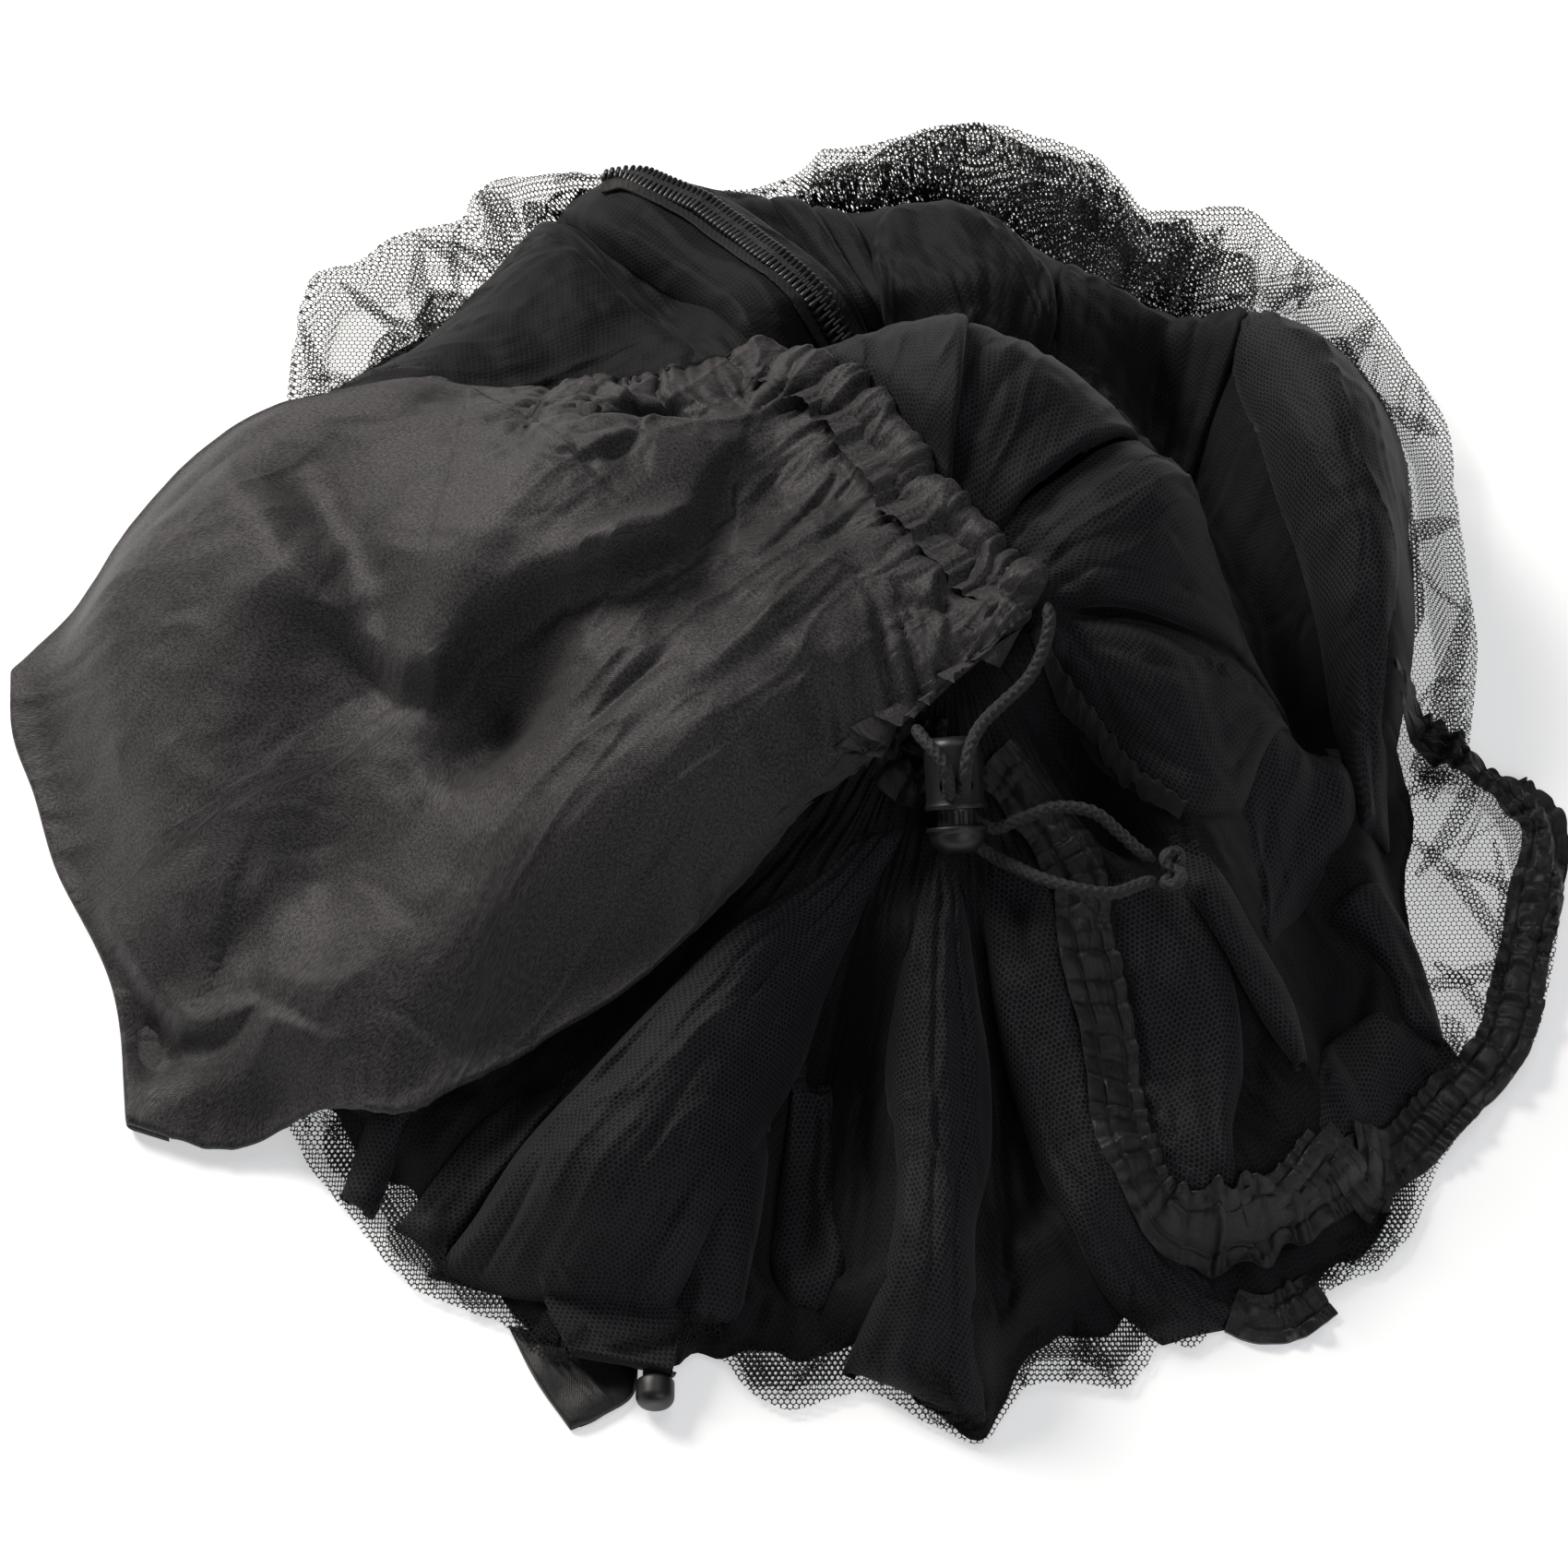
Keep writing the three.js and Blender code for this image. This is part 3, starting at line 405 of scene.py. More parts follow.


# pitch is the distance from hole to hole in mm, by the part's own scale
# under and gap are painted shade: the darker tones of the layer below and of the holes, on the pleats that
# have no real holes
tulle = {"turn": 0, "crossing": 11, "pitch": 1.35, "hole": 0.39, "sheer": False, "sheen": 0.05,
         "crumple": 0.35, "thread": "#252528", "bright": "#343438", "under": "#18181a", "gap": "#0a0a0b"}
tulleClose = tulleMaterial("bobbinetPleated", {**tulle, "thread": "#1f1f22", "bright": "#2b2b2f"})
# a darker copy of the same bobbinet as painted shade, for the heap's core that shows in the valleys between
# the pleats and for the back pleats that face the key light
tulleShadedDark = tulleMaterial("bobbinetPaintedShade",
                          {**tulle, "thread": "#161618", "bright": "#1f1f22", "under": "#111113"})
tulleTurned = tulleMaterial("bobbinetTurned", {**tulle, "turn": 24, "crossing": -8})
tulleCross = tulleMaterial("bobbinetCross", {**tulle, "turn": -38, "crossing": 15})
sheer = {**tulle, "sheer": True, "thread": "#0f0f10", "bright": "#1c1c1e", "crumple": 0.1}
tulleSheer = tulleMaterial("bobbinetSheer", {**sheer, "hole": 0.445})
tulleSheerTurned = tulleMaterial("bobbinetSheerTurned", {**sheer, "turn": 19, "hole": 0.405})


def taffetaMaterial(name, look):
    # calendered polyester taffeta: a plain weave pressed smooth, so it is half matt with a fine bright grain
    material, tree, shader = newMaterial(name)
    lengths = clothLengths(tree)
    yarns = {"Scale": waveScale / look["thread"], "Distortion": 0.6, "Detail": 1}
    warp, weft = (addNode(tree, "TexWave", {"bands_direction": way}, yarns, {"Vector": lengths}).outputs[1]
                  for way in "XY")
    weave = addNode(tree, "Math", {"operation": "MULTIPLY"}, links={0: warp, 1: weft}).outputs[0]
    grain = noiseTexture(tree, lengths, 1.3, 5, Roughness=0.8)
    mottle = noiseTexture(tree, lengths, 0.035, 3)
    speck = remap(tree, grain, {"From Min": 0.38, "From Max": 0.64})
    fleck = mixTones(tree, speck, look["dark"], look["light"])
    shade = remap(tree, mottle, {"From Min": 0.25, "From Max": 0.75, "To Min": 0.86, "To Max": 1.1})
    tint = addNode(tree, "VectorMath", {"operation": "SCALE"}, {}, {0: fleck, "Scale": shade}).outputs[0]
    gloss = remap(tree, grain, {"To Min": look["rough"] + 0.14, "To Max": look["rough"] - 0.14})
    crumple = noiseTexture(tree, lengths, 0.075, 6, ridged=True, Roughness=0.6, Distortion=0.15)
    threads = addNode(tree, "Math", {"operation": "ADD"}, links={0: weave, 1: grain}).outputs[0]
    fine = bump(tree, threads, 0.3, 0.00022, bump(tree, crumple, look["crumple"], 0.004))
    setInputs(tree, shader, {"Sheen Weight": look["sheen"], "Sheen Roughness": 0.4,
                             "Specular IOR Level": look["gloss"]},
              {"Base Color": tint, "Roughness": gloss, "Normal": fine})
    return material


# real threads about 0.15 mm apart; drawn at 0.55 mm so that the weave shows
sackCloth = taffetaMaterial("taffetaCalendered", {"thread": 0.55, "dark": "#131214", "light": "#4b4849",
                                                  "rough": 0.52, "crumple": 0.26, "sheen": 0.08,
                                                  "gloss": 0.26})
casingCloth = taffetaMaterial("taffetaRibbon", {"thread": 0.5, "dark": "#151516", "light": "#2c2b2c",
                                                "rough": 0.44, "crumple": 0.35, "sheen": 0.05, "gloss": 0.32})


def plasticMaterial(name, look):
    # injection-moulded nylon or acetal: black all through, with the fine spark-eroded skin of its mould
    material, tree, shader = newMaterial(name)
    place = addNode(tree, "TexCoord").outputs["Object"]
    grit = noiseTexture(tree, place, 3200, 3, flat=False)
    cloud = noiseTexture(tree, place, 180, 2, flat=False)
    gloss = remap(tree, cloud, {"To Min": look["rough"] - 0.07, "To Max": look["rough"] + 0.09})
    setInputs(tree, shader, {"IOR": 1.53}, {"Base Color": mixTones(tree, cloud, look["dark"], look["light"]),
                                            "Roughness": gloss, "Normal": bump(tree, grit, 0.2, 0.0001)})
    return material


lockPlastic = plasticMaterial("acetalMoulded", {"dark": "#151516", "light": "#1f1f20", "rough": 0.42})
coilNylon = plasticMaterial("nylonCoil", {"dark": "#151516", "light": "#242426", "rough": 0.3})


def wovenMaterial(name, look):
    # narrow woven goods: round yarn bundles with a little lustre along each, darker in between
    material, tree, shader = newMaterial(name)
    lengths = clothLengths(tree)
    twill = addNode(tree, "TexWave", {"bands_direction": "DIAGONAL"}, {"Scale": waveScale / look["rib"]},
                    {"Vector": lengths}).outputs[1]
    fibre = noiseTexture(tree, lengths, 3.5, 4, Roughness=0.8)
    speck = remap(tree, fibre, {"From Min": 0.45, "From Max": 0.72})
    both = addNode(tree, "Math", {"operation": "MULTIPLY_ADD"}, {1: look["ribShare"]}, {0: twill, 2: fibre})
    setInputs(tree, shader, {"Roughness": look["rough"], "Sheen Weight": 0.06, "Specular IOR Level": 0.3},
              {"Base Color": mixTones(tree, speck, look["dark"], look["light"]),
               "Normal": bump(tree, both.outputs[0], 0.5, 0.0003)})
    return material


cordBraid = wovenMaterial("polyesterBraid",
                          {"rib": 1.5, "ribShare": 0.0, "dark": "#161617", "light": "#4a4a4c",
                                             "rough": 0.5})
tapeTwill = wovenMaterial("polyesterTwillTape",
                          {"rib": 0.9, "ribShare": 0.8, "dark": "#161617", "light": "#29292b",
                                                 "rough": 0.6})
print("stage: materials made")


cord = {
    "diameter": 3.2, "sides": 32, "step": 0.28, "strands": 4, "lay": 2.3, "relief": 0.34,
    "right": [(59.6, -10.5, 88), (60, -15, 87.5), (58.5, -21, 84.5), (55, -27, 81.5), (49.5, -32, 79.5),
              (45, -37, 79.5), (42.2, -42.5, 80), (41, -47, 79.2), (40.6, -50, 76.6), (40.6, -50.4, 72.7),
              (40.8, -50.6, 69), (41.4, -51.2, 65.5), (43.2, -52.6, 62.4), (47.4, -54, 60.8),
              (53.5, -53, 63.4), (62.4, -51.4, 66), (70.3, -52.6, 65.4), (76, -56.4, 62.8), (81, -60.2, 60.6),
              (84.2, -61.6, 59.2)],
    "left": [(29.5, -36, 76), (31, -40.5, 78.6), (34, -45.3, 79.6), (36.4, -48.9, 78.4), (36.9, -50.8, 75.6),
             (37.2, -51, 72), (37.8, -51.6, 68), (39, -53, 64), (42, -56, 60), (47.2, -59.4, 57.8),
             (51.5, -62.8, 59.4), (58.7, -68, 62.2), (66.5, -71, 63), (73.8, -71, 61.2), (80, -67.8, 59.2),
             (84.2, -65.6, 58.4)],
    "knotPlace": (88, -63.6, 58.4), "knotSize": (6, 11, 7),
}


def braidTube(route, lead=2.5):
    # a tube along the route whose skin is two sets of crossing yarns
    centre = resample(route, int(lengthOf(route) / cord["step"]))
    ahead = unit(np.gradient(centre, axis=0))
    beside = np.zeros_like(centre)
    guide = np.array([0.31, 0.17, 1.0])
    for i, way in enumerate(ahead):
        guide = guide - way * guide.dot(way)
        guide /= np.linalg.norm(guide)
        beside[i] = guide
    above = np.cross(ahead, beside)
    turn = np.linspace(0, 2 * math.pi, cord["sides"] + 1)
    along = runOf(centre)
    radius = cord["diameter"] / 2
    around, lay = cord["strands"] * turn[None, :], along[:, None] * 2 * math.pi / cord["lay"]
    one, two = np.cos(around + lay), np.cos(around - lay)
    weave = np.maximum(one * (0.75 + 0.25 * two), two * (0.75 - 0.25 * one))
    skin = radius - cord["relief"] + cord["relief"] * weave
    ends = np.minimum(along, along[-1] - along)
    skin = skin * np.clip(np.sqrt(np.clip(ends / lead, 0, 1)), 0.05, 1)[:, None]
    points = (centre[:, None] + skin[..., None] * (np.cos(turn)[None, :, None] * beside[:, None]
              + np.sin(turn)[None, :, None] * above[:, None]))
    return points, np.stack(np.broadcast_arrays(turn * radius, along[:, None]), axis=-1)


def braidPiece(name, route):
    tube = ClothMesh()
    tube.addGrid(*braidTube(route), flip=True)
    piece = tube.build(name, cordBraid)
    fitPiece(piece, "cord_braid")
    return piece


cordPieces = [braidPiece("drawcord_" + side + "_strand", cord[side]) for side in ("right", "left")]

# overhand knot: a squeezed trefoil of the same cord, with both strands drawn into it
knotTurn = np.linspace(0.1, 2 * math.pi - 0.1, 60)
knotPath = np.stack([0.85 * np.sin(3 * knotTurn), 1.15 * (np.sin(knotTurn) + 1.15 * np.sin(2 * knotTurn)),
                     0.8 * (np.cos(knotTurn) - 1.15 * np.cos(2 * knotTurn))], axis=1)
knotPath = knotPath / np.abs(knotPath).max(axis=0) * (np.array(cord["knotSize"]) - 2.6) / 2
knot = braidPiece("cord_knot_tied", knotPath + np.array(cord["knotPlace"]))
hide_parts("cord_knot")


lock = {"place": (39, -51, 64), "pitch": 28, "turn": 4, "radius": 6.6, "rim": 0.45, "length": 16.5,
        "bore": 4.9, "boreDepth": 12.5, "slotAt": 5.2, "slotWidth": 3.8, "slotLength": 7.6, "slotSteps": 16,
        "slotReach": 0.02, "gap": 3.9, "stem": 4.55, "stemDepth": 7.6, "cap": 6, "ribs": 18}


def turnedMesh(name, profile, ribs=None, sides=120):
    # a profile of (radius, height) turned about +Y; rounded by its own close points
    shape = bmesh.new()
    rows = []
    for radius, height in profile:
        ribbed = ribs is not None and ribs[0] <= height <= ribs[1]
        ring = []
        for k in range(sides):
            angle = 2 * math.pi * k / sides
            out = radius * (1 - 0.045 * (0.5 + 0.5 * math.cos(lock["ribs"] * angle))) if ribbed else radius
            place = (out * math.sin(angle) * mm, height * mm, out * math.cos(angle) * mm)
            ring.append(shape.verts.new(place))
        rows.append(ring)
    for low, high in zip(rows, rows[1:]):
        for k in range(sides):
            shape.faces.new((low[k], low[(k + 1) % sides], high[(k + 1) % sides], high[k]))
    shape.faces.new(rows[0][::-1])
    shape.faces.new(rows[-1])
    bmesh.ops.recalc_face_normals(shape, faces=shape.faces)
    mesh = bpy.data.meshes.new(name)
    shape.to_mesh(mesh)
    shape.free()
    return placeObject(name, mesh)


def arcRows(centreRadius, centreHeight, size, start, end, count):
    # part of a circle, for a moulded edge
    angles = np.linspace(math.radians(start), math.radians(end), count)
    return [(centreRadius + size * math.cos(a), centreHeight + size * math.sin(a)) for a in angles]


def settle(piece, place, pitch, turn):
    move = Matrix.Translation(Vector(place) * mm) @ Matrix.Rotation(math.radians(turn), 4, "Z")
    piece.data.transform(move @ Matrix.Rotation(math.radians(pitch), 4, "X"))
    piece.data.polygons.foreach_set("use_smooth", np.ones(len(piece.data.polygons), dtype=bool))
    piece.data.set_sharp_from_angle(angle=math.radians(38))


outer, bore, rimOut = lock["radius"], lock["bore"], lock["radius"] + lock["rim"]
barrelProfile = ([(0.05, lock["length"])] + arcRows(outer - 2.6, lock["length"] - 2.6, 2.6, 90, 0, 9)
                 + [(outer, 2.2)] + arcRows(rimOut - 0.3, 1.0, 0.3, 70, 0, 4)
                 + arcRows(rimOut - 0.3, 0.3, 0.3, 0, -90, 5)
                 + arcRows(bore + 0.3, 0.3, 0.3, -90, -180, 4)
                 + [(bore, lock["boreDepth"]), (0.05, lock["boreDepth"])])
barrel = turnedMesh("lock_barrel_moulded", barrelProfile[::-1])
cutter = bmesh.new()
half = (lock["slotLength"] - lock["slotWidth"]) / 2
outline = []
for centre, start in ((half, -90), (-half, 90)):
    for k in range(lock["slotSteps"] + 1):
        angle = math.radians(start + 180 * k / lock["slotSteps"])
        outline.append((centre + lock["slotWidth"] / 2 * math.cos(angle),
                        lock["slotAt"] + lock["slotWidth"] / 2 * math.sin(angle)))
low, high = ([cutter.verts.new((x * mm, y * mm, end * lock["slotReach"])) for x, y in outline]
             for end in (-1, 1))
cutter.faces.new(low[::-1])
cutter.faces.new(high)
for k in range(len(low)):
    following = (k + 1) % len(low)
    cutter.faces.new((low[k], low[following], high[following], high[k]))
cutterMesh = bpy.data.meshes.new("slot_cutter")
cutter.to_mesh(cutterMesh)
cutter.free()
cutterPiece = placeObject("slot_cutter", cutterMesh)
cut = barrel.modifiers.new("slot", "BOOLEAN")
cut.object = cutterPiece
cut.operation = "DIFFERENCE"
cut.solver = "EXACT"
bpy.context.view_layer.update()
barrel.data = bpy.data.meshes.new_from_object(barrel.evaluated_get(bpy.context.evaluated_depsgraph_get()))
barrel.modifiers.clear()
bpy.data.objects.remove(cutterPiece)

capTop = -lock["gap"]
buttonProfile = ([(0.05, lock["stemDepth"]), (lock["stem"] - 0.4, lock["stemDepth"])]
                 + [(lock["stem"], lock["stemDepth"] - 0.4)] + [(lock["stem"], h) for h in (3, 0, -0.4)]
                 + [(lock["stem"], h) for h in np.linspace(-0.5, capTop + 0.2, 8)]
                 + arcRows(rimOut - 0.3, capTop - 0.3, 0.3, 90, 0, 4)
                 + arcRows(rimOut - 0.3, capTop - 0.8, 0.3, 0, -60, 4)
                 + [(rimOut - 0.5, capTop - 1.4)] + arcRows(1.8, capTop - 1.5, 4.55, -4, -84, 10)
                 + [(0.05, capTop - lock["cap"])])
button = turnedMesh("lock_button_moulded", buttonProfile, ribs=(capTop + 0.1, -0.45))
for piece, node, body in ((barrel, "lock_barrel", "heap"), (button, "lock_button", "button")):
    settle(piece, lock["place"], lock["pitch"], lock["turn"])
    piece.data.materials.clear()
    piece.data.materials.append(lockPlastic)
    fitPiece(piece, "lock_plastic", node, body=body)

toggle = {"place": (-29, -171.6, 4.4), "radius": 4.4, "length": 15}
tr = toggle["radius"]
toggleProfile = ([(0.05, 0)] + arcRows(tr - 2.6, 2.6, 2.6, -84, 0, 8) + [(tr, 4.2)]
                 + arcRows(tr - 1.2, 5.6, 1.2, 10, 80, 5) + arcRows(tr - 0.6, 7.6, 0.9, 250, 180, 4)
                 + arcRows(tr - 1.1, 9.4, 0.5, 150, 90, 3)
                 + [(tr - 0.6, 10.2), (tr - 0.6, toggle["length"] - 1), (tr - 1.4, toggle["length"]),
                    (0.05, toggle["length"])])
togglePiece = turnedMesh("casing_toggle_moulded", toggleProfile)
settle(togglePiece, toggle["place"], 0, 0)
togglePiece.data.materials.append(lockPlastic)
fitPiece(togglePiece, "lock_plastic", "casing_toggle")

for strand, side, solids in ((cordPieces[0], "right", ("drawcord_right", "loop_upper")),
                             (cordPieces[1], "left", ("drawcord_left", "loop_lower"))):
    route = resample(cord[side], 38)
    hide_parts(*solids)
print("stage: cords, lock and toggle made")


gather = (38.0, -8.0)
heap = {"rays": 460, "rings": 105, "sink": 4.0, "nose": 9.0, "spacing": 1.05,
        # share of the way out to which the thick net goes, by row of the sheer edge below
        "thick": [(0, 0.86), (1, 0.87), (2, 0.89), (4, 0.9), (5, 0.91), (7, 0.87), (9, 0.9), (10, 0.84),
                  (12, 0.79), (13, 0.78), (14, 0.8), (15, 0.82), (16, 0.85), (17, 0.88), (18, 0.92),
                  (19, 0.9), (20, 0.92), (21, 0.97), (22, 0.985), (25, 0.985), (26, 0.89), (28, 0.87),
                  (29, 0.84), (30, 0.83), (31, 0.81), (33, 0.84), (34, 0.93), (36, 0.95), (40, 0.94),
                  (43, 0.95), (44.6, 0.92), (46.5, 0.93), (47.5, 0.97), (49, 0.975), (51, 1.0), (52.5, 1.03),
                  (54, 0.98), (55, 0.93), (56, 0.925), (58, 0.93), (59.5, 0.985), (61.5, 0.985), (63, 0.96),
                  (64, 0.92), (66, 0.92), (68, 0.95), (70, 0.99), (71.5, 0.97), (73, 0.95), (74.5, 0.92),
                  (75, 0.88), (76, 0.82), (77, 0.77), (78, 0.76), (79, 0.79), (80, 0.86)]}
# deep gaps between the pleats
heapTroughs = [
    ("soft", 8, -15, [(-2, 79, 0.3), (10, 83, 0.8), (28, 88, 1), (45, 84, 1), (66, 81, 1), (80, 68, 1),
                      (91, 52, 1), (101, 40, 1), (107, 22, 1), (119, 8, 0.8), (129, -10, 0.4)]),
    ("soft", 7, -12, [(60, -24, 0.6), (67, -31, 1), (77, -45, 1), (88, -56, 0.6)]),
    ("soft", 9, -8, [(121, -50, 0.6), (130, -56, 1), (136, -66, 1), (131, -80, 0.8)]),
    ("soft", 7, -16, [(16, -78, 0.4), (8, -96, 1), (3, -116, 1), (2, -136, 0.8)]),
    ("soft", 6, -14, [(23, -82, 0.4), (19, -98, 1), (19, -122, 1), (18, -142, 0.6)]),
    ("soft", 4.5, -8, [(44, -86, 0.4), (48, -108, 1), (48, -150, 0.8)]),
    ("soft", 6, -7, [(-58, -104, 0.6), (-70, -116, 1), (-84, -128, 0.8)]),
    ("soft", 4, -5, [(-66, 154, 0.8), (-50, 128, 1), (-30, 104, 0.8)]),
    ("soft", 10, -22, [(96, 96, 0.7), (103, 66, 1), (113, 32, 1), (122, 6, 0.8)]),
]
ceiling = np.where(np.isfinite(sackUnder), sackUnder - 0.9, 200.0)
bodyTop = soften(netTop, grid["soften"])

# outer edge of the sheer net round the heap: x, y and how high its fold stands, anticlockwise
sheerEdge = [
    (166, -8, 8), (171, 28, 8), (170, 56, 9), (169, 73, 10), (168, 93, 10), (159, 110, 12), (155, 120, 12),
    (148, 131, 13), (138, 140, 14), (130, 146, 15), (121, 156, 15), (113, 157, 15), (100, 156, 15),
    (94, 158, 15), (88, 167, 16), (80, 173, 18), (65, 178, 20), (51, 180, 22), (36, 178, 22), (26, 173, 22),
    (10, 170, 22), (3, 161, 24), (-7, 153, 28), (-21, 150, 33), (-49, 154, 33), (-64, 156, 29),
    (-76, 160, 22), (-82, 157, 20), (-83, 153, 18), (-98, 150, 16), (-113, 142, 12), (-121, 141, 10),
    (-124, 133, 10), (-126, 115, 10), (-128, 94, 12), (-134, 80, 12), (-150, 60, 10), (-160, 40, 8),
    (-166, 15, 8), (-162, -14, 6), (-148, -54, 5), (-128, -88, 5), (-115, -103, 5), (-108, -114, 3),
    (-101, -122, 3), (-95, -130, 2), (-85, -141, 2), (-74, -146, 2), (-63, -151, 2), (-54, -160, 2),
    (-46, -159, 5), (-33, -160, 6), (-25, -158, 3), (-20, -154, 2), (-13, -160, 2), (-6, -168, 2),
    (0, -171, 2), (9, -169, 2), (18, -167, 2), (25, -170, 2), (33, -174, 2), (45, -179, 2), (49, -174, 2),
    (54, -167, 2), (64, -165, 2), (78, -165, 2), (82, -160, 2), (86, -154, 2), (92, -156, 2), (102, -147, 2),
    (116, -147, 2), (127, -141, 2), (136, -137, 2), (144, -128, 2), (152, -110, 3), (162, -97, 4),
    (176, -80, 4), (182, -63, 5), (186, -39, 6), (181, -16, 7),
]
edgeRows = len(sheerEdge)
edgeSteps = 1600
edgeRing = resample(sheerEdge + sheerEdge[:1], edgeSteps)
edgeRun = runOf(np.array(sheerEdge + sheerEdge[:1]))


def edgeAt(turns):
    # the sheer edge at a row number, whole numbers being the rows above
    at = np.interp(np.mod(turns, edgeRows), np.arange(edgeRows + 1), edgeRun) / edgeRun[-1] * (edgeSteps - 1)
    return pointsAt(at, np.arange(edgeSteps), edgeRing)


def outward(edge, share):
    # x and y at shares of the way from the gather to the edge
    return [gather[k] + (edge[:, k:k + 1] - gather[k]) * share for k in (0, 1)]


rays = np.arange(heap["rays"]) / heap["rays"] * edgeRows
rim = edgeAt(rays)
thick = np.array(heap["thick"])
reach = np.interp(rays, thick[:, 0], thick[:, 1]) + 0.012 * noise(rays, rays * 0, 0.8, 8)
shares = (np.linspace(0, 1, heap["rings"]) ** 0.9)[None, :] * reach[:, None]
coreX, coreY = outward(rim, shares)
away = np.hypot(coreX - gather[0], coreY - gather[1])
bearing = np.arctan2(coreY - gather[1], coreX - gather[0])
inside = (reach[:, None] - shares) * np.hypot(rim[:, 0] - gather[0], rim[:, 1] - gather[1])[:, None]
coreZ = sample(bodyTop, coreX, coreY) - heap["sink"] * np.clip(inside / 16, 0, 1)
coreZ = np.maximum(coreZ, heap["nose"] * np.sqrt(np.clip(inside / 18, 0, 1)))
coreZ += foldRelief(heapTroughs, coreX, coreY) * np.clip(inside / 14, 0, 1)
wrinkle = noise(bearing * 60 + 3 * noise(coreX, coreY, 30, 3), away * 0.06 + 5, 1.0, 4)
wrinkle += 0.6 * noise(bearing * 130 + 9, away * 0.11, 1.0, 5)
coreZ += wrinkle * 1.2 * np.clip(away / 50, 0.1, 1) * np.clip(inside / 10, 0, 1)
coreZ += 1.2 * noise(coreX, coreY, 14, 6) * np.clip(inside / 10, 0, 1)
coreZ = np.minimum(np.maximum(coreZ, 0.8), sample(ceiling, coreX, coreY))
core = ClothMesh()
corePoints = np.stack([coreX, coreY, coreZ], axis=-1)
spread = runLengths(corePoints, 1)
core.addGrid(corePoints, np.stack([spread * np.cos(bearing), spread * np.sin(bearing)], axis=-1), closed=True)
# the core shows in the valleys between the pleats; its darker bobbinet is painted shade
coreNet = core.build("net_heap_core", tulleShadedDark)

stack = bodyTop - heap["sink"] * smoothStep((bodyTop - 5) / 14) + foldRelief(heapTroughs, gridX, gridY)
stack = np.maximum(stack, 0.6)
np.maximum.at(stack, cellsOf(coreX, coreY), coreZ)


def wallRows(points, floorHeight):
    # three rows that turn a free edge down and back under the pleat; the edge is the first row
    edge, inner = points[0], points[2]
    way = unit(inner[:, :2] - edge[:, :2])
    rows = []
    for fall, inset in ((1.0, 3.2), (0.72, 1.5), (0.36, 0.35)):
        row = edge.copy()
        row[:, :2] += way * inset
        row[:, 2] = edge[:, 2] + (np.minimum(floorHeight, edge[:, 2]) - edge[:, 2]) * fall
        rows.append(row)
    return np.concatenate([np.stack(rows), points], axis=0)


def onSide(points, side, work):
    # works on a grid turned so that the side comes first, then turns it back
    swap, back = side in ("first", "second"), side in ("end", "second")
    turned = points.transpose(1, 0, 2) if swap else points
    turned = work(turned[::-1] if back else turned)
    turned = turned[::-1] if back else turned
    return turned.transpose(1, 0, 2) if swap else turned


melt = 5  # how far in from an edge a pleat merges with what lies below, in mm


